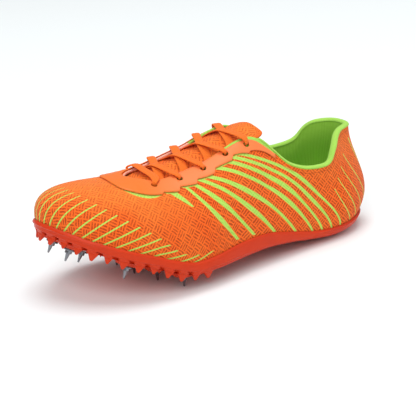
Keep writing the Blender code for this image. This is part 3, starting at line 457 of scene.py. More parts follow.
def woven_cloth(name, printed):
    """Blocks of dark dashes between orange ribs, paler in random patches, then a painted highlight on the
    vamp's top, the printed lines and the seam beside the film.
    """
    material, tree, shader = new_material(name, roughness=0.8, specular_ior_level=0.15, sheen_weight=0.08,
                                          sheen_roughness=0.45)
    place = add_node(tree, "UVMap", uv_map="cloth")
    here = add_node(tree, "TexCoord").outputs["Object"]
    wander = add_node(tree, "TexNoise", {"Vector": here, "Scale": 1 / (UNEVEN_EVERY * MM)})
    wander = add_node(tree, "VectorMath", {0: wander.outputs["Color"], 1: (UNEVEN_MM / SHEET_MM,) * 3},
                      operation="MULTIPLY")
    place = add_node(tree, "VectorMath", {0: place, 1: wander}, operation="ADD")
    per_unit = SHEET_MM / BLOCK_MM
    turned = add_node(tree, "Mapping", {"Vector": place, "Rotation": (0, 0, math.radians(BLOCK_TURN)),
                                        "Scale": (per_unit, per_unit, 1)})
    block = add_node(tree, "VectorMath", {0: turned}, operation="FLOOR")
    block = add_node(tree, "SeparateXYZ", {0: block})
    number = add_node(tree, "Math", {0: block.outputs[0], 1: block.outputs[1]}, operation="ADD")
    turn = add_node(tree, "Math", {0: number, 1: 2.0}, operation="FLOORED_MODULO")
    inside = add_node(tree, "VectorMath", {0: turned}, operation="FRACTION")
    inside = add_node(tree, "SeparateXYZ", {0: inside})
    ribs = add_node(tree, "VectorMath", {0: turned, 1: (RIBS_PER_BLOCK,) * 3}, operation="MULTIPLY")
    ribs = add_node(tree, "VectorMath", {0: ribs}, operation="FRACTION")
    ribs = add_node(tree, "SeparateXYZ", {0: ribs})
    dash = None
    for first, second, half, soft in ((ribs.outputs[0], ribs.outputs[1], DASH_HALF, DASH_SOFT),
                                      (inside.outputs[1], inside.outputs[0], DASH_END, END_SOFT)):
        off = add_node(tree, "Mix", {0: turn, 2: first, 3: second}, data_type="FLOAT")
        off = add_node(tree, "Math", {0: off, 1: 0.5}, operation="SUBTRACT")
        off = add_node(tree, "Math", {0: off}, operation="ABSOLUTE")
        near = add_node(tree, "MapRange", {0: off, 1: half, 2: half + soft, 3: 1.0, 4: 0.0},
                        interpolation_type="SMOOTHSTEP")
        dash = near if dash is None else add_node(tree, "Math", {0: dash, 1: near}, operation="MULTIPLY")
    thread = add_node(tree, "TexNoise", {"Vector": here, "Scale": 1 / (THREAD_MM * MM), "Detail": 1.0})
    thread = add_node(tree, "MapRange", {0: thread, 1: 0.38, 2: 0.56, 3: 0.45, 4: 1.0})
    dash = add_node(tree, "Math", {0: dash, 1: thread}, operation="MULTIPLY")
    patch = add_node(tree, "TexNoise", {"Vector": here, "Scale": 1 / (PATCH_MM * MM), "Detail": 3.0})
    least, most = PALE_PRINTED if printed else PALE_PLAIN
    patch_and_highlight = add_node(tree, "MapRange", {0: patch, 1: 0.35, 2: 0.65, 3: least, 4: most})
    dark = add_node(tree, "Math", {0: dash, 1: WEAVE_PLAIN}, operation="MULTIPLY")
    if printed:
        edge = add_node(tree, "Attribute", attribute_name="edge")
        edge = add_node(tree, "SeparateXYZ", {0: edge.outputs["Vector"]})
        tree.links.new(edge.outputs[2], dark.inputs[1])
        # Where the weave shows faintly, the orange is painted paler. On the vamp's top this is a painted
        # highlight, and the collar's top is paled the same way.
        painted_highlight = add_node(tree, "MapRange", {0: edge.outputs[2], 1: WEAVE_FAINT, 2: WEAVE_FULL,
                                            3: HIGHLIGHT_PALE, 4: 0.0})
        patch_and_highlight = add_node(tree, "Math", {0: patch_and_highlight, 1: painted_highlight}, operation="ADD", use_clamp=True)
    ground = add_node(tree, "Mix", {0: patch_and_highlight, 6: CLOTH_ORANGE, 7: CLOTH_PATCH_AND_HIGHLIGHT}, data_type="RGBA")
    colour = add_node(tree, "Mix", {0: dark, 6: ground.outputs[2], 7: CLOTH_GROUND}, data_type="RGBA")
    if printed:
        lines = add_node(tree, "Attribute", attribute_name="print")
        lines = add_node(tree, "SeparateXYZ", {0: lines.outputs["Vector"]})
        off = add_node(tree, "Math", {0: lines.outputs[0], 1: 0.5}, operation="PINGPONG")
        off = add_node(tree, "Math", {0: off, 1: lines.outputs[1]}, operation="MULTIPLY")
        line = add_node(tree, "MapRange", {0: off, 1: 1 - LINE_SOFT, 2: 1 + LINE_SOFT, 3: 1.0, 4: 0.0})
        within = add_node(tree, "MapRange", {0: lines.outputs[2], 1: 0.0, 2: INK_SOFT, 3: 0.0, 4: 1.0})
        ink = add_node(tree, "Math", {0: line, 1: within}, operation="MULTIPLY")
        fringe = add_node(tree, "MapRange", {0: edge.outputs[1], 1: 0.0, 2: FRINGE_SOFT, 3: 0.0, 4: 1.0})
        ink = add_node(tree, "Math", {0: ink, 1: fringe}, operation="MAXIMUM")
        worn = add_node(tree, "Math", {0: dash, 1: INK_WORN}, operation="MULTIPLY")
        lime = add_node(tree, "Mix", {0: worn, 6: PRINT_LIME, 7: PRINT_SHADE}, data_type="RGBA")
        colour = add_node(tree, "Mix", {0: ink, 6: colour.outputs[2], 7: lime.outputs[2]},
                          data_type="RGBA")
        seam = add_node(tree, "Math", {0: edge.outputs[0], 1: SEAM_BELOW}, operation="SUBTRACT")
        seam = add_node(tree, "Math", {0: seam}, operation="ABSOLUTE")
        seam = add_node(tree, "MapRange", {0: seam, 1: SEAM_HALF, 2: SEAM_SOFT, 3: SEAM_DARK, 4: 0.0})
        colour = add_node(tree, "Mix", {0: seam, 6: colour.outputs[2], 7: SEAM_SHADE}, data_type="RGBA")
    ridge = add_node(tree, "Math", {0: 1.0, 1: dash}, operation="SUBTRACT")
    finish_surface(tree, shader, ridge, 0.5, 0.35, colour)
    return material


upper_cloth = woven_cloth("woven_polyester_printed", True)
tongue_cloth = woven_cloth("woven_polyester_plain", False)
print("cloth blocks of", BLOCK_MM, "mm,", RIBS_PER_BLOCK, "ribs each")

# %% [markdown]
# ### Film, lining, lace, rubber and steel
# The film is a smooth polyurethane sheet, welded on, with a faint pebble. The lining is a soft knit, the
# lace a flat woven tube, and the sole a moulded elastomer with a satin skin. The pins are turned steel.

# %% The other materials
# Sizes of the patterns in mm. The film turns from peach to orange between two places along the frame, in m.
PEBBLE_MM, FILM_CLOUD_MM, LACE_RIB_MM = 0.9, 30.0, 1.3
GRAIN_MM, RUBBER_CLOUD_MM, RING_MM = 0.7, 18.0, 0.5
PEACH_TO, ORANGE_FROM = 0.035, 0.07
STITCH_CLOSER = 1.4
NOISE_LOW, NOISE_HIGH = 0.3, 0.7


def throat_film():
    """Smooth matte film, peach beside the eyelets and more orange towards the toe."""
    material, tree, shader = new_material("polyurethane_film", roughness=0.48, specular_ior_level=0.3)
    here = add_node(tree, "TexCoord").outputs["Object"]
    ahead = add_node(tree, "SeparateXYZ", {0: here})
    ahead = add_node(tree, "MapRange", {0: ahead.outputs[0], 1: PEACH_TO, 2: ORANGE_FROM, 3: 0.0, 4: 1.0})
    tint = add_node(tree, "Mix", {0: ahead, 6: hex_colour("#F57E42"), 7: hex_colour("#EC7526")},
                    data_type="RGBA")
    pebble = add_node(tree, "TexNoise", {"Vector": here, "Scale": 1 / (PEBBLE_MM * MM), "Detail": 2.0})
    cloud = add_node(tree, "TexNoise", {"Vector": here, "Scale": 1 / (FILM_CLOUD_MM * MM)})
    rough = add_node(tree, "MapRange", {0: cloud, 1: NOISE_LOW, 2: NOISE_HIGH, 3: 0.42, 4: 0.56})
    finish_surface(tree, shader, pebble, 0.25, 0.12, tint, rough)
    return material


def knit_lining(name, colour, deep, stitch_mm):
    """Fine knit: columns of small stitches, drawn a little coarser than real so that they show, with painted
    shade in the hollows between them.
    """
    material, tree, shader = new_material(name, roughness=0.88, specular_ior_level=0.15, sheen_weight=0.1,
                                          sheen_roughness=0.5)
    place = add_node(tree, "UVMap", uv_map="cloth")
    scale = SHEET_MM / stitch_mm * math.pi
    wide = add_node(tree, "Mapping", {"Vector": place, "Scale": (scale, STITCH_CLOSER * scale, 1)})
    waves = add_node(tree, "VectorMath", {0: wide}, operation="SINE")
    waves = add_node(tree, "SeparateXYZ", {0: waves})
    loops = add_node(tree, "Math", {0: waves.outputs[0], 1: waves.outputs[1]}, operation="MULTIPLY")
    loops = add_node(tree, "Math", {0: loops}, operation="ABSOLUTE")
    # The deep colour is painted shade: it fills the hollows between the stitches.
    tint = add_node(tree, "Mix", {0: loops, 6: hex_colour(deep), 7: hex_colour(colour)}, data_type="RGBA")
    finish_surface(tree, shader, loops, 0.5, 0.25, tint)
    return material


def woven_lace():
    """Flat tubular weave: herringbone ribs that meet along the middle of the lace, with painted shade in the
    grooves between them.
    """
    material, tree, shader = new_material("polyester_lace", roughness=0.75, specular_ior_level=0.2,
                                          sheen_weight=0.1, sheen_roughness=0.4)
    place = add_node(tree, "UVMap", uv_map="cloth")
    place = add_node(tree, "SeparateXYZ", {0: place})
    half = add_node(tree, "Math", {0: place.outputs[1]}, operation="ABSOLUTE")
    slope = add_node(tree, "Math", {0: place.outputs[0], 1: half}, operation="ADD")
    ribs = add_node(tree, "Math", {0: slope, 1: SHEET_MM / LACE_RIB_MM * 2 * math.pi}, operation="MULTIPLY")
    ribs = add_node(tree, "Math", {0: ribs}, operation="SINE")
    ribs = add_node(tree, "MapRange", {0: ribs, 1: -1.0, 2: 1.0, 3: 0.0, 4: 1.0})
    # The darker orange is painted shade in the grooves between the ribs.
    tint = add_node(tree, "Mix", {0: ribs, 6: hex_colour("#E4621A"), 7: hex_colour("#FB8129")},
                    data_type="RGBA")
    finish_surface(tree, shader, ribs, 0.6, 0.25, tint)
    return material


def moulded_rubber():
    """Satin moulded skin, a little cloudy and a little grainy."""
    material, tree, shader = new_material("moulded_elastomer", roughness=0.45, specular_ior_level=0.22)
    here = add_node(tree, "TexCoord").outputs["Object"]
    grain = add_node(tree, "TexNoise", {"Vector": here, "Scale": 1 / (GRAIN_MM * MM), "Detail": 3.0})
    cloud = add_node(tree, "TexNoise", {"Vector": here, "Scale": 1 / (RUBBER_CLOUD_MM * MM), "Detail": 4.0})
    rough = add_node(tree, "MapRange", {0: cloud, 1: NOISE_LOW, 2: NOISE_HIGH, 3: 0.32, 4: 0.52})
    tint = add_node(tree, "Mix", {0: cloud, 6: hex_colour("#C22E07"), 7: hex_colour("#D63B0F")},
                    data_type="RGBA")
    finish_surface(tree, shader, grain, 0.2, 0.12, tint, rough)
    return material


def turned_steel():
    """Bright turned steel: dark where it mirrors the sole, light where it mirrors the lamps."""
    material, tree, shader = new_material("turned_steel", base_color=hex_colour("#85858A"), metallic=1.0,
                                          roughness=0.2)
    here = add_node(tree, "TexCoord").outputs["Object"]
    rings = add_node(tree, "TexNoise", {"Vector": here, "Scale": 1 / (RING_MM * MM), "Detail": 2.0})
    rough = add_node(tree, "MapRange", {0: rings, 1: NOISE_LOW, 2: NOISE_HIGH, 3: 0.14, 4: 0.28})
    finish_surface(tree, shader, rings, 0.15, 0.05, rough=rough)
    return material


film = throat_film()
# The second colour of each knit is painted shade in the hollows between its stitches.
lining = knit_lining("soft_knit_lining", "#B2E35C", "#93CC42", 1.4)
binding_knit = knit_lining("knit_binding_tape", "#B6E267", "#97CE50", 1.2)
cut_edge = knit_lining("cut_cloth_edge", "#F6C3B0", "#E89A80", 0.9)
lace_cloth = woven_lace()
rubber = moulded_rubber()
steel = turned_steel()
print("materials:", len(bpy.data.materials))


def dress(obj, slot, *materials):
    """Give a finished piece its materials and its body. Its slot is not used."""
    obj.data.materials.clear()
    for material in materials:
        obj.data.materials.append(material)
    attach(obj, "root")


# %% [markdown]
# ## The upper
# On the real shoe one cloth runs round the foot, with padding and a soft lining inside. It is wrapped here
# as one closed wall: up the outside, over the rim and down the inside. The wall's corners remember where
# they lie, so that the print, the weave and the lining can be placed on it afterwards.

# %% The upper's wall
UPPER_COLUMNS = 440
OUTER_ROWS, RIM_ROWS, INNER_ROWS = 64, 8, 32
UPPER_ROWS = OUTER_ROWS + RIM_ROWS + INNER_ROWS + 1
row_climbs = np.concatenate([np.linspace(0, 1, OUTER_ROWS + 1), np.ones(RIM_ROWS - 1),
                             np.linspace(1, 0, INNER_ROWS + 1), [0.0]])
rim_angles = np.concatenate([np.zeros(OUTER_ROWS), np.linspace(0, math.pi, RIM_ROWS + 1),
                             np.full(INNER_ROWS, math.pi), [0.0]])

# Main creases: from and to as turn and climb, then width and depth in mm. A minus depth is a ridge.
CREASES = [
    (0.385, 0.80, 0.345, 0.30, 5.0, 0.7),
    (0.635, 0.80, 0.675, 0.30, 5.0, 0.7),
    (0.420, 0.55, 0.400, 0.20, 7.0, -0.5),
    (0.060, 0.62, 0.150, 0.62, 11.0, 1.0),
    (0.940, 0.62, 0.850, 0.62, 11.0, 1.0),
    (0.195, 0.88, 0.215, 0.45, 5.0, 0.6),
    (0.805, 0.88, 0.785, 0.45, 5.0, 0.6),
]
CREASE_POINTS, CREASE_FADE = 13, 4


def crease_lift(turn, climb):
    """How far the creases move the cloth out."""
    here = bare_skin(turn, climb)
    lift = np.zeros(here.shape[:-1])
    for turn_a, climb_a, turn_b, climb_b, width, depth in CREASES:
        share = np.linspace(0, 1, CREASE_POINTS)
        line = bare_skin(turn_a + (turn_b - turn_a) * share, climb_a + (climb_b - climb_a) * share)
        fade = 1 - (2 * share - 1) ** CREASE_FADE
        for point, strength in zip(line, fade):
            near = np.exp(-((here - point) ** 2).sum(-1) / width ** 2) * strength
            lift = np.where(depth > 0, np.minimum(lift, -depth * near), np.maximum(lift, -depth * near))
    return lift


turn_grid, climb_grid = np.meshgrid(np.linspace(0, 1, UPPER_COLUMNS + 1), row_climbs, indexing="ij")
thick = wall_thickness(turn_grid, climb_grid)
creased = crease_lift(turn_grid[:, :OUTER_ROWS + 1], climb_grid[:, :OUTER_ROWS + 1])
lift = -thick * (1 - np.cos(rim_angles)) / 2
lift[:, :OUTER_ROWS + 1] += creased
wall = skin(turn_grid, climb_grid, lift)
wall = wall + rim_rise(turn_grid) * (thick * np.sin(rim_angles) / 2)[..., None]
plan, out = feather(turn_grid[:, 0])
wall[:, -2] = on_height(plan - out * WALL, sole_value("bed", plan - out * WALL) + GAP)
upper = wrap_grid("upper_wall", wall)
print("upper:", len(upper.data.polygons), "faces")

# %% [markdown]
# ## The film round the throat
# A smooth film is welded over the cloth round the throat, with a stepped lower edge beside the eyelets. It
# could be a raised band of the upper, but a sheet of its own shows its cut edge. The eyelets are punched
# through film and cloth together with a Boolean, as the real ones are punched in one stroke.

# %% The film
EYESTAY = [("quarter_lat", 6.0), ("instep_lat", 12.5), ("ball_lat", 15.5), ("tread_lat", 17.0),
           ("toe_lat", 19.0), ("toe_tip", 15.0), ("toe_med", 18.0), ("ball_med", 17.0),
           ("tread_med", 15.5), ("instep_med", 12.5), ("quarter_med", 6.0)]
FILM_THICK, FILM_EDGE, FILM_ENDS = 0.8, 0.8, 0.4
FILM_COLUMNS, FILM_ROWS, FILM_CUT = 320, 14, 0.45
STEP_COUNT, STEP_DEPTH, STEP_SHARP = 5, 4.0, 0.1
STEP_SPANS = (("instep_lat", "tread_lat"), ("instep_med", "ball_med"))
TAIL_TURN, TAIL_SHARE = 0.04, 0.45
BARE_EDGE, BARE_FROM, BARE_TO, BARE_GROWS, BARE_FADES = 2.0, 100.0, 135.0, 12.0, 10.0
film_start = between("quarter_lat", "instep_lat", FILM_ENDS)
film_end = between("quarter_med", "instep_med", FILM_ENDS)


def film_width(turn):
    """Width of the film below the throat's edge, with a saw edge beside the eyelets and a slim tail."""
    width = through([turn_of(name) for name, _ in EYESTAY], [wide for _, wide in EYESTAY], turn)
    for near, far in STEP_SPANS:
        share = share_between(near, far, turn)
        inside = (share > 0) & (share < 1)
        width = width + np.where(inside, STEP_DEPTH * (0.5 - (share * STEP_COUNT) % 1.0), 0.0)
    tail = np.minimum(turn - film_start, film_end - turn)
    return width * (TAIL_SHARE + (1 - TAIL_SHARE) * ramp(tail, 0.0, TAIL_TURN))


def film_edge(turn):
    """Width of the bound rim that the film leaves bare, wider beside the top eyelets."""
    along = round_rays("top_along", turn)
    bare = ramp(along, BARE_FROM - BARE_GROWS, BARE_FROM) * (1 - ramp(along, BARE_TO - BARE_FADES, BARE_TO))
    return FILM_EDGE + BARE_EDGE * bare


steps = [between(near, far, (k + 0.5 * nudge) / STEP_COUNT) for near, far in STEP_SPANS
         for k in range(1, STEP_COUNT) for nudge in (-STEP_SHARP, STEP_SHARP)]
film_turns = np.array(sorted(list(np.linspace(film_start, film_end, FILM_COLUMNS)) + steps))
lowest, highest = film_width(film_turns)[:, None], film_edge(film_turns)[:, None]
below = lowest + (highest - lowest) * np.linspace(0, 1, FILM_ROWS)
film_climbs = climb_at(film_turns[:, None], below, True)
film_half = np.full(film_climbs.shape, FILM_THICK / 2)
film_half[:, [0, -1]] *= FILM_CUT
film_half[[0, -1]] = 0.0
film_mid = GAP + FILM_THICK / 2
outside = skin(film_turns[:, None], film_climbs, film_mid + film_half)
inside = skin(film_turns[:, None], film_climbs, film_mid - film_half)
eyestay = wrap_grid("throat_film", np.concatenate([outside, inside[:, ::-1], outside[:, :1]], axis=1))

# %% The eyelets
EYELETS_ALONG = (0.680, 0.609, 0.536, 0.464, 0.399)
EYELET_BELOW, EYELET_HOLE, PUNCH_SIDES, PUNCH_DEEP = 7.0, 4.4, 28, 10


def throat_turn(along, side):
    """Turn of the ray that tops out at this distance along the last, outer (1) or inner (-1) side."""
    near = turn_of("instep_lat") if side > 0 else turn_of("instep_med")
    turns = np.linspace(near, turn_of("toe_tip"), FINE_STEPS)
    return float(np.interp(along, round_rays("top_along", turns), turns))


punches = []
for along in EYELETS_ALONG:
    for side in (1, -1):
        turn = throat_turn(along * LENGTH, side)
        climb = climb_at(turn, EYELET_BELOW, True)
        heading = Vector(skin_normal(turn, climb)).to_track_quat("Z", "Y").to_euler()
        bpy.ops.object.select_all(action="DESELECT")
        bpy.ops.mesh.primitive_cylinder_add(vertices=PUNCH_SIDES, radius=EYELET_HOLE / 2 * MM,
                                            depth=PUNCH_DEEP * MM, rotation=heading,
                                            location=(skin(turn, climb) + LAST_AT) * MM)
        punches.append(bpy.context.object)
punch = join("eyelet_punch", punches)
for piece in (upper, eyestay):
    apply_modifier(piece, "BOOLEAN", operation="DIFFERENCE", solver="EXACT", object=punch)
bpy.data.objects.remove(punch)
print("eyelets:", len(punches), "upper now", len(upper.data.polygons), "faces")

# %% [markdown]
# ### Print, weave and lining on the upper
# Thin lime lines fan back from the toe and up the heel, and broad stripes sweep from the throat down the
# quarter. They are worked out from two measures that a pattern cutter would use: how far round the feather
# line a point lies, and how far up the wall. Each corner keeps its lane number, the lane's width and how
# far inside the printed area it is, and the material draws crisp lines from those.

# %% Measures on the cloth
columns_turn = np.linspace(0, 1, UPPER_COLUMNS + 1)
outer_skin = bare_skin(columns_turn[:, None], np.linspace(0, 1, OUTER_ROWS + 1))
run_table = run_along(foot_plan(columns_turn))
up_steps = np.diff(outer_skin, axis=1)
up_table = np.concatenate([np.zeros((UPPER_COLUMNS + 1, 1)),
                           np.cumsum(np.linalg.norm(up_steps, axis=2), axis=1)], axis=1)
TIP_RUN = float(np.interp(turn_of("toe_tip"), columns_turn, run_table))
GIRTH = run_table[-1]
print("feather line, mm:", round(GIRTH, 1), "to the toe tip:", round(TIP_RUN, 1))

# %% Printed lines
TOE_SPREAD, HEEL_SPREAD = 0.026, 0.0125
TOE_HALF_LINE, HEEL_HALF_LINE = 0.48, 0.40
TOE_LANES, TOE_TALLEST, TOE_LOWEST, TOE_SHORTER = 16.7, 38.0, 8.0, 0.33
TOE_GAP, TOE_GAP_GROWS, TOE_REACH, TOE_MARGIN = 3.9, 0.4, 160.0, 0.45
HEEL_FIRST, HEEL_GAP, HEEL_TALLEST, HEEL_SHORTER = 8.0, 8.1, 72.0, 0.98
HEEL_FROM, HEEL_TO, HEEL_CLEAR, HEEL_REACH = 5.0, 44.0, 1.0, 47.0
STRIPE_REACH, STRIPE_PAST, STRIPE_BESIDE, STRIPE_SIDE, STRIPE_LEAST = 66.0, 1.15, 12.0, 0.25, 0.05
STRIPE_SWELL, SWELL_AT, SWELL_SHIFT, SWELL_LONG = 0.6, 0.52, 0.1, 0.16
# Each side stripe: its run at the sole and at the film, how it bends between them, where it starts, and
# half its width at the sole and at the film. The first is a short wedge that ends in a point.
STRIPES = [
    (176.0, 232.5, 2.5, 42.0, -8.4, 4.8),
    (148.4, 204.0, 1.0, 8.9, 1.1, 1.1),
    (133.0, 198.0, 1.1, 8.3, 1.1, 1.2),
    (114.5, 191.6, 1.2, 6.6, 1.1, 1.3),
    (96.0, 185.5, 1.3, 3.1, 1.0, 1.3),
    (80.5, 170.0, 1.4, 1.8, 0.9, 1.3),
    (71.3, 157.7, 1.5, 0.8, 0.9, 1.3),
    (62.0, 148.4, 1.6, 0.8, 0.8, 1.2),
    (52.7, 139.2, 1.7, 0.8, 0.8, 1.1),
]


def stripes(run, up):
    """Side stripes, from the film's lower edge down and back to the sole."""
    s = np.clip(up / STRIPE_REACH, 0.0, STRIPE_PAST)
    paths = [low + (high - low) * s ** bend for low, high, bend, *_ in STRIPES]
    leans = [(high - low) * bend * s ** (bend - 1) / STRIPE_REACH for low, high, bend, *_ in STRIPES]
    halves = [low + (high - low) * s for *_, low, high in STRIPES]
    lane = np.minimum((paths[0] - run) / STRIPE_BESIDE, 0.0)
    lane = lane + np.maximum((paths[-1] - run) / STRIPE_BESIDE, 0.0)
    gap = np.full(run.shape, STRIPE_BESIDE)
    for near, far in zip(paths[:-1], paths[1:]):
        part = (near - run) / (near - far)
        lane = lane + np.clip(part, 0.0, 1.0)
        gap = np.where((part >= 0) & (part < 1), near - far, gap)
    nearest = np.clip(np.rint(lane), 0, len(STRIPES) - 1).astype(int)
    lean = np.choose(nearest, leans)
    starts = np.choose(nearest, [stripe[3] for stripe in STRIPES])
    swell_at = SWELL_AT + SWELL_SHIFT * np.where(nearest % 2 == 0, 1.0, -1.0)
    half = np.choose(nearest, halves) + STRIPE_SWELL * np.exp(-((s - swell_at) / SWELL_LONG) ** 2)
    ratio = gap / np.sqrt(1 + lean * lean) / np.maximum(half, STRIPE_LEAST)
    last_lane = len(STRIPES) - 1 + STRIPE_SIDE
    inside = np.minimum.reduce([(lane + STRIPE_SIDE) * gap, (last_lane - lane) * gap, up - starts])
    return lane, ratio, inside


def toe_lines(from_tip, up):
    """Fine lines that start at the sole round the toe and lean back more the further round they are."""
    start = from_tip / (1 + TOE_SPREAD * up)
    root = np.sqrt(TOE_GAP ** 2 + 2 * TOE_GAP_GROWS * start)
    lane = (root - TOE_GAP) / TOE_GAP_GROWS
    gap = root * (1 + TOE_SPREAD * up) / np.sqrt(1 + (TOE_SPREAD * start) ** 2)
    tall = np.maximum(TOE_TALLEST - TOE_SHORTER * start, TOE_LOWEST)
    return lane, gap / TOE_HALF_LINE, np.minimum(tall - up, (TOE_LANES - lane) * gap)


def heel_lines(from_heel, up):
    """Five fine lines that climb the heel on each side."""
    start = from_heel / (1 + HEEL_SPREAD * up)
    lane = (start - HEEL_FIRST) / HEEL_GAP
    gap = HEEL_GAP * (1 + HEEL_SPREAD * up) / np.sqrt(1 + (HEEL_SPREAD * start) ** 2)
    inside = np.minimum.reduce([HEEL_TALLEST - HEEL_SHORTER * start - up, start - HEEL_FROM,
                                HEEL_TO - start, up - HEEL_CLEAR])
    return lane, gap / HEEL_HALF_LINE, inside


def printed(turn, up):
    """Lane, lane width and depth inside the print, from whichever family of lines is near."""
    run = np.interp(turn, columns_turn, run_table)
    from_tip = np.abs(run - TIP_RUN)
    from_heel = np.minimum(run, GIRTH - run)
    families = (toe_lines(from_tip, up), heel_lines(from_heel, up), stripes(from_heel, up))
    near_toe = (from_tip < TOE_REACH) & (families[0][2] > -TOE_MARGIN)
    near_heel = ~near_toe & (from_heel / (1 + HEEL_SPREAD * up) < HEEL_REACH)
    return np.stack([np.select([near_toe, near_heel], columns[:2], columns[2])
                     for columns in zip(*families)], axis=-1)


# %% Beside the film
HEM_DEEP, CRESCENT_DEEP, CRESCENT_FROM, CRESCENT_TO = 1.3, 3.2, 218.0, 262.0
FRINGE_UNDER, CRESCENT_LEAN = 1.5, 0.7
HEM_GROWS, HEM_FADES = (0.05, 0.25), (0.80, 0.95)
# The vamp's top gets fainter dashes and a paler orange as a painted highlight. High on the collar the weave
# is fainter too.
VAMP_ALONG, VAMP_UP, VAMP_HIGHLIGHT = (160.0, 205.0), (18.0, 42.0), 0.3
COLLAR_ALONG, COLLAR_UP, COLLAR_FAINTER = (55.0, 100.0), (35.0, 60.0), 0.15


def beside_film(turn, up, length, along):
    """Distance below the film, depth inside its lime fringe, and how strongly the weave shows: fainter on the
    vamp's top as a painted highlight, and fainter high on the collar.
    """
    run = np.interp(turn, columns_turn, run_table)
    from_heel = np.minimum(run, GIRTH - run)
    below = length - film_width(turn) - up
    share = np.clip((from_heel - CRESCENT_FROM) / (CRESCENT_TO - CRESCENT_FROM), 0.0, 1.0)
    deep = CRESCENT_DEEP * np.sin(math.pi * share ** CRESCENT_LEAN)
    for near, far in STEP_SPANS:
        step = share_between(near, far, turn) * STEP_COUNT
        hem = ramp(step % 1.0, *HEM_GROWS) * (1 - ramp(step % 1.0, *HEM_FADES))
        deep = deep + np.where((step > 0) & (step < STEP_COUNT), HEM_DEEP * hem, 0.0)
    fringe = np.minimum(deep - below, below + FRINGE_UNDER)
    fringe = np.where((turn > film_start) & (turn < film_end), fringe, -FRINGE_UNDER)
    vamp_lit = ramp(along, *VAMP_ALONG) * ramp(up, *VAMP_UP)
    collar = (1 - ramp(along, *COLLAR_ALONG)) * ramp(up, *COLLAR_UP)
    weave = WEAVE_FULL - VAMP_HIGHLIGHT * vamp_lit - COLLAR_FAINTER * collar
    return np.stack([below, fringe, weave], axis=-1)


# %% The cloth's own map
MAP_SHIFT, MAP_HIGH, MAP_BLEND = 16.8, 96.0, (95.0, 165.0)


def unrolled_cloth():
    """Plan of the cloth: the front is rolled out flat from the throat, the heel round the feather line."""
    plan, out = feather(columns_turn)
    tangent = np.stack([-out[:, 1], out[:, 0]], axis=-1)
    slid = (up_steps[..., :2] * tangent[:, None]).sum(-1)
    fell = np.sqrt(np.maximum((up_steps ** 2).sum(-1) - slid ** 2, 0.0))
    step = tangent[:, None] * slid[..., None] - out[:, None] * fell[..., None]
    front = outer_skin[:, -1:, :2] - np.concatenate(
        [np.cumsum(step[:, ::-1], axis=1)[:, ::-1], np.zeros((len(plan), 1, 2))], axis=1)
    outer_side = np.where(columns_turn < 0.5, 1.0, -1.0)[:, None]
    around = np.minimum(run_table, GIRTH - run_table)[:, None] - MAP_SHIFT
    slid_up = np.concatenate([np.zeros((len(plan), 1)), np.cumsum(slid, axis=1)], axis=1)
    back = np.stack([around - outer_side * slid_up, outer_side * (MAP_HIGH - up_table)], axis=-1)
    share = ramp(outer_skin[..., :1], *MAP_BLEND)
    return back * (1 - share) + front * share


cloth_table = unrolled_cloth()
places = corner_places(upper)
corner_column = places[:, 0] * UPPER_COLUMNS
corner_row = places[:, 1] * UPPER_ROWS
climb_row = np.where(corner_row <= OUTER_ROWS, corner_row,
                     OUTER_ROWS * np.clip((UPPER_ROWS - 1 - corner_row) / INNER_ROWS, 0, 1))
lay_cloth(upper, sampled(cloth_table, corner_column, climb_row))
ups = sampled(up_table, corner_column, climb_row)
lengths = np.interp(places[:, 0], columns_turn, up_table[:, -1])
alongs = sampled(outer_skin[..., 0], corner_column, climb_row)
lines, beside = printed(places[:, 0], ups), beside_film(places[:, 0], ups, lengths, alongs)
lines[:, 2] = np.minimum(lines[:, 2], beside[:, 0] + FRINGE_UNDER)
for name, values in (("print", lines), ("edge", beside)):
    attribute = upper.data.attributes.new(name, "FLOAT_VECTOR", "CORNER")
    attribute.data.foreach_set("vector", values.astype(np.float32).ravel())

# %% Cloth outside, lining inside, a cut edge round the throat
BOUND_TO, BOUND_UNDER = 142.0, 0.6
first_corners = [p.loop_start for p in upper.data.polygons]
counts = np.array([p.loop_total for p in upper.data.polygons])
face_rows = np.add.reduceat(corner_row, first_corners) / counts
face_turns = np.add.reduceat(places[:, 0], first_corners) / counts
from_top = np.add.reduceat(lengths - ups, first_corners) / counts
in_throat = (face_turns > turn_of("instep_lat")) & (face_turns < turn_of("instep_med"))
in_rim = in_throat & (face_rows >= OUTER_ROWS) & (face_rows < OUTER_ROWS + RIM_ROWS)
under_film = (face_turns > film_start) & (face_turns < film_end) & (face_rows < OUTER_ROWS)
bare_rim = under_film & (from_top < film_edge(face_turns) + BOUND_UNDER)
bound = (in_rim | bare_rim) & (round_rays("top_along", face_turns) < BOUND_TO)
# The numbers are the places of the upper's materials: 0 cloth, 1 lining, 2 cut edge and 3 binding.
finish = np.where(face_rows < OUTER_ROWS, 0, 1)
finish = np.where(in_rim, 2, finish)
finish = np.where(bound, 3, finish)
dress(upper, "upper_cloth", upper_cloth, lining, cut_edge, binding_knit)
upper.data.polygons.foreach_set("material_index", finish.astype(np.int32))
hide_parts("upper")
dress(eyestay, "eyestay_film", film)
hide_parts("eyestay")
print("lining faces:", int((finish == 1).sum()))

# %% [markdown]
# ## The tongue
# The tongue is a thin pad of foam in the same cloth. It lies under the film's edges, swells a little between
# them and stands up above the throat. It is one sheet with a crowned top and bottom that meet at the edges.

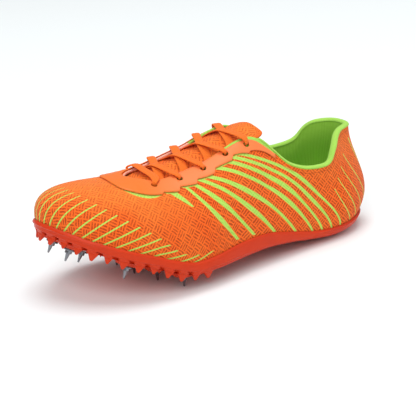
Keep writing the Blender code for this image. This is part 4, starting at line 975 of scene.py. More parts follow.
# %% Points over the throat
CROWN_RISE, EDGE_ACROSS = 0.8, 0.55
TONGUE_FROM, TONGUE_TO = -0.28, 1.22
TONGUE_HALF, TOP_HALF = 1.10, 0.58
TONGUE_THICK, TONGUE_BELOW = 2.6, WALL + 1.0
TONGUE_CROWN, TONGUE_SWELL = 2.6, 0.45
ROUND_FROM, TIP_SHARE = 1.06, 0.40
FRONT_SHARE, FRONT_DROP, FRONT_CLIMB = 0.45, 1.6, 0.9
SWELLS_FROM, SWELLS_FULL = -0.15, 0.05
NARROWS_FROM, NARROWS_TO = 0.70, 0.95
TOP_BACK, TOP_UP = 62.0, 14.0
TWIST, TWIST_FROM, TWIST_FULL = 6.0, 0.95, 1.15
FIRST_ALONG, TOP_ALONG = EYELETS_ALONG[0] * LENGTH, EYELETS_ALONG[-1] * LENGTH


def throat_row(share, across, lift):
    """Points over the throat: across runs from 1 at the outer eyelets to -1 at the inner ones."""
    across = np.asarray(across, float)
    along = FIRST_ALONG + (TOP_ALONG - FIRST_ALONG) * np.clip(share, 0.0, 1.0)
    turns = np.array([throat_turn(along, 1), throat_turn(along, -1)])
    edges = skin(turns, 1.0, lift)
    eyelets = skin(turns, climb_at(turns, EYELET_BELOW, True), lift)
    crown = edges.mean(axis=0) + unit(skin_normal(turns, 1.0).sum(axis=0)) * CROWN_RISE
    points = np.array([eyelets[1], edges[1], crown, edges[0], eyelets[0]])
    knots = (-1.0, -EDGE_ACROSS, 0.0, EDGE_ACROSS, 1.0)
    row = np.stack([through(knots, points[:, k], across) for k in range(3)], axis=-1)
    beyond = np.where(across[..., None] > 0, points[4] - points[3], points[0] - points[1])
    return row + beyond * (np.maximum(np.abs(across) - 1.0, 0.0) / (1.0 - EDGE_ACROSS))[..., None]


def tongue_row(share, across, deeper):
    """A row across the tongue, below the film by deeper more than its top."""
    row = throat_row(share, across, -TONGUE_BELOW)
    down = throat_row(share, across, -TONGUE_BELOW - 1.0) - row
    row = row + down * np.asarray(deeper)[..., None]
    swell = TONGUE_CROWN * (1 - ramp(np.abs(across), 0.0, TONGUE_SWELL))
    row[:, 2] += swell * ramp(share, SWELLS_FROM, SWELLS_FULL) - FRONT_DROP * ramp(share, 0.0, SWELLS_FROM)
    if share > 1.0:
        row = row + np.array([-TOP_BACK, 0.0, TOP_UP]) * (share - 1.0)
    row[:, 0] -= TWIST * across * float(ramp(share, TWIST_FROM, TWIST_FULL))
    if share < 0.0:
        slope = bare_skin(turn_of("toe_tip"), FRONT_CLIMB) - bare_skin(turn_of("toe_tip"), 1.0)
        row = row - unit(slope) * share * (FIRST_ALONG - TOP_ALONG)
    return row


# %% The tongue
TONGUE_COLUMNS, TONGUE_ROWS, TONGUE_END, TONGUE_PUFF = 90, 40, 0.03, 6
TOP_WIDER, WIDENS_FROM, WIDENS_TO, TONGUE_ROW_MM = 0.32, 1.02, 1.10, 1.1
crowded = np.sin(np.linspace(0, math.pi / 2, TONGUE_COLUMNS))
tongue_shares = TONGUE_FROM + (TONGUE_TO - TONGUE_FROM) * crowded
top_rows, low_rows = [], []
for share in tongue_shares:
    half = TONGUE_HALF + (TOP_HALF - TONGUE_HALF) * float(ramp(share, NARROWS_FROM, NARROWS_TO))
    half = half * (FRONT_SHARE + (1 - FRONT_SHARE) * float(ramp(share, TONGUE_FROM, 0.0)))
    rounding = max(share - ROUND_FROM, 0.0) / (TONGUE_TO - ROUND_FROM)
    half = half * (TIP_SHARE + (1 - TIP_SHARE) * math.sqrt(max(1 - rounding ** 2, 0.0)))
    spread = np.linspace(-1, 1, TONGUE_ROWS)
    end = np.clip(min(share - TONGUE_FROM, TONGUE_TO - share) / TONGUE_END, 0.0, 1.0)
    full = np.sqrt(1 - spread ** TONGUE_PUFF) * math.sqrt(1 - (1 - end) ** 2)
    wider = 1 + TOP_WIDER * float(ramp(share, WIDENS_FROM, WIDENS_TO))
    reach = half * spread * np.where(spread > 0, wider, 1.0)
    top_rows.append(tongue_row(share, reach, TONGUE_THICK / 2 * (1 - full)))
    low_rows.append(tongue_row(share, reach, TONGUE_THICK / 2 * (1 + full)))
top_rows, low_rows = np.array(top_rows), np.array(low_rows)
tongue = wrap_grid("tongue_pad", np.concatenate([top_rows, low_rows[:, ::-1][:, 1:]], axis=1))
places = corner_places(tongue)
across_rows = 2 * TONGUE_ROWS - 2
around = np.abs(places[:, 1] * across_rows - (TONGUE_ROWS - 1))
tongue_run = np.interp(places[:, 0], np.linspace(0, 1, len(tongue_shares)), tongue_shares)
tongue_map = np.stack([tongue_run * (FIRST_ALONG - TOP_ALONG), around * TONGUE_ROW_MM], axis=-1)
lay_cloth(tongue, tongue_map)
dress(tongue, "upper_cloth", tongue_cloth)
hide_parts("tongue")
print("tongue:", len(tongue.data.polygons), "faces")

# %% [markdown]
# ## The collar's rolled edge
# A lime knit tape is folded over the collar's rim, from one top eyelet round the heel to the other. A curve
# with a bevel would be round all along. A swept sheet can follow the thickness of the padding.

# %% The binding
BINDING_GAP, BINDING_ENDS, BINDING_HEIGHT, BINDING_OVER = 0.45, 0.85, 2.2, 0.6
BINDING_COLUMNS, ARCH_POINTS, BINDING_TAPER = 260, 15, 0.006
BINDING_FOLD, BINDING_ROUND = 0.4, 14.0
bind_start = between("quarter_med", "instep_med", BINDING_ENDS) - 1.0
bind_end = between("quarter_lat", "instep_lat", BINDING_ENDS)
bind_turns = np.linspace(bind_start, bind_end, BINDING_COLUMNS)
normal, up = skin_normal(bind_turns, 1.0), rim_rise(bind_turns)
thick = wall_thickness(bind_turns, 1.0)
to_end = np.minimum(bind_turns - bind_start, bind_end - bind_turns)
taper = np.sqrt(1 - (1 - np.clip(to_end / BINDING_TAPER, 0, 1)) ** 2)
centre = bare_skin(bind_turns, 1.0) - normal * (thick / 2)[:, None] + up * BINDING_GAP
arch = np.concatenate([np.linspace(0, math.pi, ARCH_POINTS), [math.pi, 0.0]])
flat = np.concatenate([np.ones(ARCH_POINTS), [BINDING_FOLD, BINDING_FOLD]])
half_wide = ((thick / 2 + BINDING_OVER) * taper)[:, None, None]
side_part = normal[:, None] * half_wide * (np.cos(arch) * flat)[:, None]
up_part = up[:, None] * (BINDING_HEIGHT * taper)[:, None, None] * np.sin(arch)[:, None]
section = centre[:, None] + side_part + up_part
section = np.concatenate([section, section[:, :1]], axis=1)
binding = wrap_grid("collar_roll", section)
bind_run = run_along(centre)
places = corner_places(binding)
run_there = np.interp(places[:, 0], np.linspace(0, 1, BINDING_COLUMNS), bind_run)
lay_cloth(binding, np.stack([run_there, places[:, 1] * BINDING_ROUND], axis=-1))
dress(binding, "lining_cloth", binding_knit)
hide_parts("collar_binding")
print("binding length, mm:", round(bind_run[-1]))

# %% [markdown]
# ## The insole
# A foam insole lies on the bed of the sole. It is a soft sheet with rounded edges, wrapped between the two
# sides of the feather line.

# %% The insole
INSOLE_THICK, INSOLE_INSET, INSOLE_PUFF = 3.0, WALL + 0.6, 8
INSOLE_COLUMNS, INSOLE_ROWS = 160, 40
halves = half_round(INSOLE_COLUMNS)
outer_edge, outer_out = feather(halves)
inner_edge, inner_out = feather(1 - halves)
outer_edge, inner_edge = outer_edge - outer_out * INSOLE_INSET, inner_edge - inner_out * INSOLE_INSET
share = np.linspace(0, 1, INSOLE_ROWS + 1)
insole_plan = outer_edge[:, None] + (inner_edge - outer_edge)[:, None] * share[:, None]
puff = np.sqrt(1 - (2 * share - 1) ** INSOLE_PUFF)
bed = sole_value("bed", insole_plan) + GAP + INSOLE_THICK / 2
high = on_height(insole_plan, bed + INSOLE_THICK / 2 * puff)
low = on_height(insole_plan, bed - INSOLE_THICK / 2 * puff)
insole = wrap_grid("sock_liner", np.concatenate([high, low[:, ::-1][:, 1:]], axis=1))
places = corner_places(insole)
columns, rows = places[:, 0] * INSOLE_COLUMNS, np.abs(places[:, 1] * 2 * INSOLE_ROWS - INSOLE_ROWS)
lay_cloth(insole, sampled(insole_plan, columns, rows))
dress(insole, "lining_cloth", lining)
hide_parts("insole")

# %% [markdown]
# ## The lace
# The flat lace makes one bar at the bottom and four crossings above it. Each crossing comes out from under
# the throat's edge, passes over the tongue and the film, narrows and dives into the next eyelet. A curve with
# a flat bevel would twist, so each run is swept with a frame that is carried along it without turning.

# %% Runs of the lace
LACE_WIDTH, LACE_THICK, LACE_LIFT = 6.4, 1.2, 1.9
LACE_NECK, LACE_NECK_THICK, LACE_NARROWS = 3.2, 1.6, 6.0
LACE_PULL, LACE_HOP, LACE_CLEAR = 0.9, 1.5, 0.10
TUCK_LIFT, TUCK_THIN, TUCK_FROM, TUCK_EDGE, TUCK_RISEN = -WALL - 0.5, 0.66, 0.06, 0.21, 0.5
LACE_STATIONS, LACE_SIDES, LACE_KNOTS, HOP_LONG = 72, 18, 19, 0.14
EYELET_LIFTS, NECK_PAST, TUCK_KNOTS, TUCK_LONG = (1.7, -0.4, -4.5), 0.5, 5, 5.0
FLAT_WIDE, FLAT_HIGH = 0.45, 0.8


def eyelet_end(share, side):
    """Three points down an eyelet: over it, in it and under it."""
    turn = throat_turn(FIRST_ALONG + (TOP_ALONG - FIRST_ALONG) * share, side)
    climb = climb_at(turn, EYELET_BELOW - LACE_PULL, True)
    return [skin(turn, climb, high) for high in EYELET_LIFTS]


def lace_path(low, high, side, over):
    """Centre line of a run: a crossing starts under the throat's edge, and each end dives into its eyelet."""
    crosses = low != high
    middle = []
    for s in np.linspace(TUCK_FROM if crosses else LACE_CLEAR, 1 - LACE_CLEAR, LACE_KNOTS):
        hop = over * LACE_HOP * math.exp(-((s - 0.5) / HOP_LONG) ** 2)
        risen = float(ramp(s, TUCK_EDGE, TUCK_RISEN)) if crosses else 1.0
        lift = TUCK_LIFT + (LACE_LIFT + LACE_THICK / 2 + hop - TUCK_LIFT) * risen
        middle.append(throat_row(low + (high - low) * s, side * (1 - 2 * s), lift))
    starts = [] if crosses else eyelet_end(low, side)[::-1]
    points = np.array(starts + middle + eyelet_end(high, -side))
    run = run_along(points)
    at = np.linspace(0, run[-1], LACE_STATIONS)
    path = np.stack([through(run, points[:, k], at) for k in range(3)], axis=-1)
    holes = (-2 * LACE_NARROWS if crosses else run[2], run[-3])
    return path, at, holes, run[TUCK_KNOTS] if crosses else 0.0


def lace_run(name, path, at, holes, tucked_to):
    """Flat tube along a path, narrow at the eyelets and thin where it is tucked under the edge."""
    tangent = unit(np.gradient(path, axis=0))
    middle = len(path) // 2
    sides = np.zeros_like(path)
    sides[middle] = unit(np.cross((0.0, 0.0, 1.0), tangent[middle]))
    for order in (range(middle + 1, len(path)), range(middle - 1, -1, -1)):
        before = sides[middle]
        for i in order:
            before = unit(before - tangent[i] * before.dot(tangent[i]))
            sides[i] = before
    tops = np.cross(tangent, sides)
    wide = ramp(np.minimum(at - holes[0], holes[1] - at), -NECK_PAST, LACE_NARROWS)
    half_wide = (LACE_NECK + (LACE_WIDTH - LACE_NECK) * wide) / 2
    half_thick = (LACE_NECK_THICK + (LACE_THICK - LACE_NECK_THICK) * wide) / 2
    half_thick = half_thick * (TUCK_THIN + (1 - TUCK_THIN) * ramp(at, tucked_to - TUCK_LONG, tucked_to))
    angle = np.linspace(0, 2 * math.pi, LACE_SIDES + 1)
    x = np.sign(np.cos(angle)) * np.abs(np.cos(angle)) ** FLAT_WIDE
    y = np.sign(np.sin(angle)) * np.abs(np.sin(angle)) ** FLAT_HIGH
    section = path[:, None] + sides[:, None] * (half_wide[:, None] * x)[..., None] \
        + tops[:, None] * (half_thick[:, None] * y)[..., None]
    section = np.concatenate([np.repeat(path[:1, None], LACE_SIDES + 1, axis=1), section,
                              np.repeat(path[-1:, None], LACE_SIDES + 1, axis=1)])
    obj = wrap_grid(name, section)
    places = corner_places(obj)
    row = np.clip(np.rint(places[:, 1] * LACE_SIDES).astype(int), 0, LACE_SIDES)
    lay_cloth(obj, np.stack([places[:, 0] * at[-1], x[row] * LACE_WIDTH / 2], axis=-1))
    return obj


first, last = EYELETS_ALONG[0], EYELETS_ALONG[-1]
eyelet_shares = [(along - first) / (last - first) for along in EYELETS_ALONG]
runs = [(eyelet_shares[0], eyelet_shares[0], 1, 0.0)]
for low, high in zip(eyelet_shares[:-1], eyelet_shares[1:]):
    runs += [(low, high, 1, 0.0), (low, high, -1, 1.0)]
lace_parts, lace_length = [], 0.0
for k, run in enumerate(runs):
    path, at, holes, tucked_to = lace_path(*run)
    lace_parts.append(lace_run("lace_run_%d" % k, path, at, holes, tucked_to))
    lace_length += at[-1]
lace = join("lace_flat", lace_parts)
dress(lace, "lace_cord", lace_cloth)
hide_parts("lace")
print("lace runs:", len(runs), "length that shows, mm:", round(lace_length))

# %% [markdown]
# ## The sole
# The sole is one moulding: a bed, a lip that cups the upper, a side wall with a bead, an arch and a toe
# spring. It is wrapped as one closed grid from heel to toe. Its teeth and dots repeat, so each is modelled
# once and stamped. The ribs are swept and the bosses turned where they stand.

# %% The sole's shell
LIP_TOP, LIP_ROOT, LIP_SLOPE, LIP_MIDDLE, LIP_FOOT = 1.0, 1.9, 0.5, 0.7, 0.4
# Rows up the inside of the lip and on to its top: the share of its height, and how far they stand out
# beyond the gap.
LIP_ROWS = ((0.5, 0.0), (0.85, 0.0), (1.0, 0.2), (1.0, 0.55))
BED_INSET, UNDER_INSET = 8.0, 4.0
SIDE_SHARES = (0.0, 0.34, 0.62, 0.70, 1.0)
SIDE_OUT = (1.4, 2.2, 2.2, 2.9, 2.5)
SIDE_STEPS = (1.0, 0.92, 0.84, 0.76, 0.72, 0.70, 0.67, 0.64, 0.62,
              0.58, 0.50, 0.42, 0.34, 0.26, 0.18, 0.11, 0.05, 0.0)
TOOTH_PITCH, TEETH_INSET = 10.5, 1.2
TEETH_FROM, TEETH_TO = turn_of("ball_lat"), turn_of("tread_med")
NOTCH_DEEP, NOTCH_ENDS, NOTCH_WAVE = 2.4, 0.02, (0.35, 0.7)
NOTCH_LOW, NOTCH_HIGH = (0.0, 0.12), (0.55, 0.62)
SOLE_STATIONS, UNDER_ROWS, BED_ROWS = 300, 64, 6

teeth_turns = np.linspace(TEETH_FROM, TEETH_TO, FINE_STEPS)
teeth_plan, teeth_out = feather(teeth_turns)
teeth_run = run_along(teeth_plan - teeth_out * TEETH_INSET)


def notch(turn):
    """Recess between the edge teeth, from 0 to 1."""
    run = np.interp(turn, teeth_turns, teeth_run)
    wave = np.cos(2 * math.pi * run / TOOTH_PITCH)
    starts = ramp(turn, TEETH_FROM, TEETH_FROM + NOTCH_ENDS)
    ends = starts * (1 - ramp(turn, TEETH_TO - NOTCH_ENDS, TEETH_TO))
    return ramp(-wave, *NOTCH_WAVE) * ends


def sole_side(turns):
    """Rows from the bed's rim over the lip and down the side to the edge of the underside."""
    plan, out = feather(turns)
    bed, bottom = sole_value("bed", plan), sole_value("bottom", plan)
    lip, tuck, reach = (sole_value(name, plan) for name in ("lip", "tuck", "reach"))
    inner_bed = plan - out * BED_INSET
    rows = [on_height(inner_bed, sole_value("bed", inner_bed)), on_height(plan + out * GAP, bed)]
    for share, stands in LIP_ROWS:
        rows.append(skin(turns, climb_at(turns, share * lip), GAP + stands))
    rows.append(skin(turns, climb_at(turns, lip - LIP_SLOPE), GAP + LIP_TOP))
    rows.append(skin(turns, climb_at(turns, LIP_MIDDLE * lip), GAP + 0.5 * (LIP_TOP + LIP_ROOT)))
    rows.append(skin(turns, climb_at(turns, LIP_FOOT * lip), GAP + LIP_ROOT))
    recess = NOTCH_DEEP * notch(turns)
    for share in SIDE_STEPS:
        quarter = 0.5 * math.pi * share
        cut = float(ramp(share, *NOTCH_LOW) * (1 - ramp(share, *NOTCH_HIGH)))
        stands = np.interp(share, SIDE_SHARES, SIDE_OUT) * reach - recess * cut
        inward = tuck * (1 - math.sin(quarter)) - stands
        height = bottom + (bed - bottom) * (1 - math.cos(quarter))
        rows.append(on_height(plan - out * inward[:, None], height))
    inner = plan - out * (tuck + UNDER_INSET)[:, None]
    rows.append(on_height(inner, sole_value("bottom", inner)))
    return np.stack(rows, axis=1)


stations = half_round(SOLE_STATIONS)
outer_side, inner_side = sole_side(stations), sole_side(1 - stations)
HEEL_PAD_FROM, HEEL_PAD_TO, HEEL_PAD_DEEP = 20.0, 64.0, 0.8
HEEL_PAD_SLOPE, HEEL_PAD_EDGE, DISH_FLAT = 3, (1.5, 3.0), 4
under_share = np.linspace(0, 1, UNDER_ROWS + 1)[1:-1]
outer_rim, inner_rim = outer_side[:, -1:, :2], inner_side[:, -1:, :2]
under_plan = outer_rim + (inner_rim - outer_rim) * under_share[:, None]
across = 2 * under_share - 1
under_z = sole_value("bottom", under_plan) + sole_value("dish", under_plan) * (1 - across ** DISH_FLAT)
edge_mm = (1 - np.abs(across)) / 2 * np.linalg.norm(inner_rim - outer_rim, axis=-1)
in_pad = ramp(under_plan[..., 0], HEEL_PAD_FROM, HEEL_PAD_FROM + HEEL_PAD_SLOPE)
in_pad = in_pad * (1 - ramp(under_plan[..., 0], HEEL_PAD_TO - HEEL_PAD_SLOPE, HEEL_PAD_TO))
in_pad = in_pad * ramp(edge_mm, *HEEL_PAD_EDGE)
under = on_height(under_plan, under_z + HEEL_PAD_DEEP * in_pad)
bed_share = np.linspace(0, 1, BED_ROWS + 1)
bed_plan = inner_side[:, :1, :2] + (outer_side[:, :1, :2] - inner_side[:, :1, :2]) * bed_share[:, None]
bed = on_height(bed_plan, sole_value("bed", bed_plan))
shell = np.concatenate([outer_side, under, inner_side[:, ::-1], bed[:, 1:]], axis=1)
sole = wrap_grid("sole_unit", shell)
bpy.ops.object.shade_smooth_by_angle(angle=math.radians(50))
dress(sole, "sole_rubber", rubber)
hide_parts("outsole")
print("sole:", len(sole.data.polygons), "faces")


# %% Places under the sole
def sole_frame(plan, heading=0.0, upright=False, sunk=0.0):
    """Matrix at a point of the underside, in metres: Z leaves the sole, X runs along the heading."""
    small = 0.5
    plan = np.asarray(plan, float)
    centre = on_height(plan, sole_value("bottom", plan) + sunk)
    slope = [(sole_value("bottom", plan + d) - sole_value("bottom", plan - d)) / (2 * small)
             for d in (np.array([small, 0.0]), np.array([0.0, small]))]
    down = Vector((0, 0, -1)) if upright else Vector((slope[0], slope[1], -1)).normalized()
    ahead = Vector((math.cos(math.radians(heading)), math.sin(math.radians(heading)), 0))
    side = down.cross(ahead).normalized()
    ahead = side.cross(down)
    turned = Matrix((ahead, side, down)).transposed().to_4x4()
    return Matrix.Translation((centre + LAST_AT) * MM) @ turned


def copy_at(one, matrix):
    """A copy of one modelled piece, with a mesh of its own that is moved to its place."""
    copy = one.copy()
    copy.data = one.data.copy()
    copy.data.transform(matrix)
    bpy.context.collection.objects.link(copy)
    return copy


def stamp(name, one, matrices):
    """Copies of one modelled piece, joined into a single object."""
    copies = [copy_at(one, matrix) for matrix in matrices]
    bpy.data.objects.remove(one)
    return join(name, copies)


def select_top(obj):
    """In edit mode, select the faces that look up."""
    looks_up = 0.9
    bpy.ops.mesh.select_all(action="DESELECT")
    bpy.ops.object.mode_set(mode="OBJECT")
    for face in obj.data.polygons:
        face.select = face.normal.z > looks_up
    bpy.ops.object.mode_set(mode="EDIT")


# %% Edge teeth
TOOTH_LONG, TOOTH_WIDE, TOOTH_HIGH, TOOTH_SUNK, TOOTH_TIP = 8.8, 4.2, 5.2, 1.6, 0.2
TOOTH_ROUND = 0.45
TOOTH_SIZES = (1.0, 0.84, 1.04, 0.92, 0.8, 1.0)
bpy.ops.object.select_all(action="DESELECT")
bpy.ops.mesh.primitive_cube_add(size=1.0)
tooth = bpy.context.object
tooth.scale = Vector((TOOTH_LONG, TOOTH_WIDE, TOOTH_HIGH + TOOTH_SUNK)) * MM
tooth.location = (0, 0, (TOOTH_HIGH - TOOTH_SUNK) / 2 * MM)
bpy.ops.object.transform_apply(location=True, rotation=False, scale=True)
bpy.ops.object.mode_set(mode="EDIT")
select_top(tooth)
bpy.ops.transform.resize(value=(TOOTH_TIP, TOOTH_TIP, 1.0))
bpy.ops.object.mode_set(mode="OBJECT")
apply_modifier(tooth, "BEVEL", width=TOOTH_ROUND * MM, segments=2)
bpy.ops.object.shade_smooth_by_angle(angle=math.radians(40))
tooth_places = []
for k in range(int(teeth_run[-1] / TOOTH_PITCH) + 1):
    place, face = feather(np.interp(k * TOOTH_PITCH, teeth_run, teeth_turns))
    heading = math.degrees(math.atan2(-face[0], face[1]))
    size = TOOTH_SIZES[k % len(TOOTH_SIZES)]
    tooth_places.append(sole_frame(place - face * TEETH_INSET, heading) @ Matrix.Scale(size, 4))
STUD_PITCH, STUD_SCALE, STUD_CLEAR, STUD_EDGE = 13.0, 0.62, 15.5, 9.0
STUD_FROM, STUD_TURN, STUD_COLUMNS, STUD_ASIDE = 186.0, 55.0, 7, 4
boss_plans = [np.array([along * LENGTH, across * BALL_WIDTH]) for along, across, _ in SPIKES]
edge_plan = foot_plan(np.linspace(0, 1, FINE_STEPS))
for i in range(STUD_COLUMNS):
    for j in range(-STUD_ASIDE, STUD_ASIDE + 1):
        place = np.array([STUD_FROM + STUD_PITCH * i, STUD_PITCH * (j + 0.5 * (i % 2))])
        clear = min(np.linalg.norm(place - boss) for boss in boss_plans)
        inside = np.linalg.norm(edge_plan - place, axis=1).min()
        middle = np.array([np.interp(place[0], outer_side[:, 0, 0], outer_side[:, 0, 1]),
                           np.interp(place[0], inner_side[:, 0, 0], inner_side[:, 0, 1])])
        if clear > STUD_CLEAR and inside > STUD_EDGE and middle[1] < place[1] < middle[0]:
            heading = STUD_TURN * (1 if j % 2 else -1)
            tooth_places.append(sole_frame(place, heading) @ Matrix.Scale(STUD_SCALE, 4))
teeth = stamp("edge_teeth", tooth, tooth_places)
dress(teeth, "sole_rubber", rubber)
print("teeth:", len(tooth_places))

# %% Bosses
BOSS_HEIGHT, BOSS_SIDES, SPIKE_LENGTH = 3.0, 48, 9.3
BOSS_PROFILE = ((0.0, -1.4), (11.0, -1.4), (11.0, 0.3), (10.6, 0.7), (10.0, 1.1), (9.6, 1.2), (9.2, 1.3),
                (8.7, 2.1), (8.2, 2.5), (7.4, 2.85), (6.6, 3.0), (5.6, 3.0), (5.2, 2.9), (0.0, 2.9))


def boss_height(plan, stands):
    """Height of a boss, so that a pin the shoe stands on ends on the floor."""
    return float(sole_value("bottom", plan)) - SPIKE_LENGTH - GAP if stands else BOSS_HEIGHT


bosses = []
for k, ((_, _, stands), plan) in enumerate(zip(SPIKES, boss_plans)):
    scale = boss_height(plan, stands) / BOSS_HEIGHT
    around = np.linspace(0, 2 * math.pi, BOSS_SIDES + 1)
    lathe = np.array([[(radius * math.cos(a), radius * math.sin(a), high * scale if high > 0 else high)
                       for a in around] for radius, high in BOSS_PROFILE])
    boss = wrap_grid("boss_%d" % k, lathe)
    boss.data.transform(Matrix.Translation(-Vector(LAST_AT * MM)))
    boss.data.transform(sole_frame(plan, upright=stands))
    bosses.append(boss)
bosses = join("pin_bosses", bosses)
bpy.ops.object.shade_smooth_by_angle(angle=math.radians(35))
dress(bosses, "sole_rubber", rubber)

# %% Ribs
RIB_WIDE, RIB_HIGH, RIB_SUNK, RIB_POINTS, RIB_ENDS = 2.6, 1.8, 1.2, 12, 8
# Each fan: its centre in shares of the length and ball width, its heading and spread in degrees, how many
# ribs it has, and how far from the centre they start and end in mm.
FANS = [
    (0.250, 0.02, 0.0, 50.0, 5, 14.0, 70.0),
    (0.640, 0.03, 180.0, 66.0, 4, 20.0, 46.0),
]
SCALLOP_RADIUS, SCALLOP_HALF = 14.2, 46.0
rib_lines = []
for along, across, heading, spread, count, starts, ends in FANS:
    for k in range(count):
        angle = math.radians(heading + spread * (k / (count - 1) - 0.5))
        ray = np.array([math.cos(angle), math.sin(angle)])
        rib_lines.append([np.array([along * LENGTH, across * BALL_WIDTH]) + ray * d
                          for d in np.linspace(starts, ends, RIB_POINTS)])
for plan, (_, _, stands) in zip(boss_plans, SPIKES):
    if stands:
        angles = np.radians(np.linspace(180 - SCALLOP_HALF, 180 + SCALLOP_HALF, RIB_POINTS))
        rib_lines.append([plan + SCALLOP_RADIUS * np.array([math.cos(a), math.sin(a)]) for a in angles])
RIB_SECTION = ((-1.0, -1.0), (-0.85, 0.2), (-0.6, 0.8), (-0.25, 1.0), (0.25, 1.0), (0.6, 0.8), (0.85, 0.2),
               (1.0, -1.0), (-1.0, -1.0))
ribs = []
for k, line in enumerate(rib_lines):
    line = np.array(line)
    run = unit(np.gradient(line, axis=0))
    side = np.stack([-run[:, 1], run[:, 0]], axis=-1)
    floor = sole_value("bottom", line) + sole_value("dish", line)
    full = np.sqrt(1 - np.linspace(-1, 1, RIB_POINTS) ** RIB_ENDS)
    rows = []
    for wide, high in RIB_SECTION:
        reach = RIB_SUNK if high < 0 else RIB_HIGH
        xy = line + side * (wide * RIB_WIDE / 2 * full)[:, None]
        rows.append(on_height(xy, floor - high * reach * np.where(high > 0, full, 1.0)))
    ribs.append(wrap_grid("rib_%d" % k, np.stack(rows, axis=1)))
ribs = join("waist_ribs", ribs)
dress(ribs, "sole_rubber", rubber)
print("ribs:", len(rib_lines))

# %% Dots on the heel pad
DOT_RADIUS, DOT_FLAT, DOT_PITCH, DOT_FROM, DOT_COLUMNS = 1.1, 0.5, 6.0, 26.0, 6
bpy.ops.object.select_all(action="DESELECT")
bpy.ops.mesh.primitive_uv_sphere_add(segments=12, ring_count=8, radius=DOT_RADIUS * MM)
dot = bpy.context.object
dot.scale.z = DOT_FLAT
bpy.ops.object.transform_apply(location=False, rotation=False, scale=True)
bpy.ops.object.shade_smooth()
dot_places = [sole_frame((DOT_FROM + DOT_PITCH * (i + 0.5 * (j % 2)), DOT_PITCH * j), sunk=HEEL_PAD_DEEP)
              for i in range(DOT_COLUMNS) for j in (-1, 0, 1)]
dots = stamp("heel_dots", dot, dot_places)
dress(dots, "sole_rubber", rubber)
print("heel dots:", len(dot_places))

# %% [markdown]
# ## The pins
# Each pin is turned from one steel bar: a flange with a chamfered rim, a collar, and a shank that tapers to a
# blunt tip. It starts as a cylinder for the flange, whose top face is inset and drawn out twice.

# %% One pin, stamped eight times
FLANGE_RADIUS, FLANGE_THICK, SHANK_RADIUS, TIP_RADIUS = 4.4, 1.3, 1.6, 0.6
COLLAR_RADIUS, COLLAR_HIGH, PIN_SIDES, PIN_ROUND = 2.6, 2.2, 40, 0.3
bpy.ops.object.select_all(action="DESELECT")
bpy.ops.mesh.primitive_cylinder_add(vertices=PIN_SIDES, radius=FLANGE_RADIUS * MM, depth=FLANGE_THICK * MM,
                                    location=(0, 0, FLANGE_THICK / 2 * MM))
pin = bpy.context.object
bpy.ops.object.transform_apply(location=True, rotation=False, scale=False)
bpy.ops.object.mode_set(mode="EDIT")
select_top(pin)
bpy.ops.mesh.inset(thickness=(FLANGE_RADIUS - COLLAR_RADIUS) * MM)
bpy.ops.mesh.extrude_region_move(TRANSFORM_OT_translate={"value": (0, 0, COLLAR_HIGH * MM)})
bpy.ops.mesh.inset(thickness=(COLLAR_RADIUS - SHANK_RADIUS) * MM)
shank = SPIKE_LENGTH - FLANGE_THICK - COLLAR_HIGH
bpy.ops.mesh.extrude_region_move(TRANSFORM_OT_translate={"value": (0, 0, shank * MM)})
bpy.ops.transform.resize(value=(TIP_RADIUS / SHANK_RADIUS, TIP_RADIUS / SHANK_RADIUS, 1.0))
bpy.ops.object.mode_set(mode="OBJECT")
apply_modifier(pin, "BEVEL", width=PIN_ROUND * MM, segments=3, limit_method="ANGLE",
               angle_limit=math.radians(28))
bpy.ops.object.shade_smooth_by_angle(angle=math.radians(40))
for k, ((_, _, stands), plan) in enumerate(zip(SPIKES, boss_plans)):
    seat = Matrix.Translation((0, 0, (boss_height(plan, stands) + GAP) * MM))
    copy = copy_at(pin, sole_frame(plan, upright=stands) @ seat)
    copy.name = copy.data.name = "steel_pin_%d" % (k + 1)
    dress(copy, "spike_steel", steel)
    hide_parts("spike_%d" % (k + 1))
bpy.data.objects.remove(pin)
print("pins:", len(SPIKES))

# %% [markdown]
# ## Floor, light and camera
# The shoe stands on a plain pale floor under large soft lamps, as in a product studio. The camera keeps the
# angle and the slight roll that the picture of the shoe was taken with.

# %% The floor
FLOOR_SIZE, FIBRE_MM = 6.0, 4.0
material, tree, shader = new_material("studio_paper", base_color=hex_colour("#F1F6F7"), roughness=0.9,
                                      specular_ior_level=0.1)
here = add_node(tree, "TexCoord").outputs["Object"]
fibre = add_node(tree, "TexNoise", {"Vector": here, "Scale": 1 / (FIBRE_MM * MM)})
finish_surface(tree, shader, fibre, 0.05, 0.1)
bpy.ops.object.select_all(action="DESELECT")
bpy.ops.mesh.primitive_plane_add(size=FLOOR_SIZE, location=(0, 0, 0))
floor = bpy.context.object
floor.name = "studio_floor"
bpy.ops.object.mode_set(mode="EDIT")
bpy.ops.mesh.subdivide(number_cuts=3)
bpy.ops.object.mode_set(mode="OBJECT")
floor.data.materials.append(material)
floor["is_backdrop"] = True

# %% The light
WORLD_STRENGTH, LAMP_AIM = 0.44, Vector((0, 0, 0.04))
world = bpy.data.worlds.new("studio")
bpy.context.scene.world = world
world.use_nodes = True
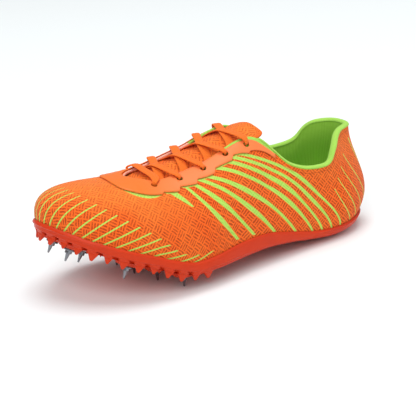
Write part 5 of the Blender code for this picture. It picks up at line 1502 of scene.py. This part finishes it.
world.node_tree.nodes["Background"].inputs["Color"].default_value = (1.0, 1.0, 1.0, 1.0)
world.node_tree.nodes["Background"].inputs["Strength"].default_value = WORLD_STRENGTH
bpy.context.scene.view_settings.view_transform = "Standard"
LAMPS = [
    ("key", (1.8, 1.6, 2.5), 1.8, 46.0),
    ("fill", (-2.2, 1.6, 1.8), 2.4, 15.0),
    ("top", (-0.1, -0.1, 3.1), 1.8, 52.0),
]
for name, place, size, power in LAMPS:
    bpy.ops.object.light_add(type="AREA", location=place)
    lamp = bpy.context.object
    lamp.name = "lamp_" + name
    lamp.data.size = size
    lamp.data.energy = power
    lamp.rotation_euler = (LAMP_AIM - Vector(place)).to_track_quat("-Z", "Y").to_euler()

# %% The camera
PICTURE = 416
AZIMUTH, ELEVATION, ROLL = math.radians(149.2), math.radians(20.2), math.radians(-3.1)
DISTANCE, FOCAL_PIXELS, SENSOR_MM = 900.0, 1195.0, 36.0
LOOKS_AT = (137.0, 0.0, 40.0)
level = math.cos(ELEVATION)
back = Vector((math.sin(AZIMUTH) * level, -math.cos(AZIMUTH) * level, math.sin(ELEVATION)))
right = Vector((math.cos(AZIMUTH), math.sin(AZIMUTH), 0.0))
upward = back.cross(right)
rolled_right = right * math.cos(ROLL) + upward * math.sin(ROLL)
rolled_up = upward * math.cos(ROLL) - right * math.sin(ROLL)
target = Vector((np.array(LOOKS_AT) + LAST_AT) * MM)
bpy.ops.object.camera_add()
camera = bpy.context.object
camera.data.sensor_width = SENSOR_MM
camera.data.lens = FOCAL_PIXELS / PICTURE * camera.data.sensor_width
turned = Matrix((rolled_right, rolled_up, back)).transposed().to_4x4()
camera.matrix_world = Matrix.Translation(target + back * DISTANCE * MM) @ turned
bpy.context.scene.camera = camera
print("camera at, mm:", [round(v / MM) for v in camera.matrix_world.translation])

# %% [markdown]
# ## Sizes
# Last, the box of the dressed shoe is printed.

# %% Print the size of the dressed shoe
low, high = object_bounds()
print("dressed box, mm:", [round((b - a) / MM, 1) for a, b in zip(low, high)])
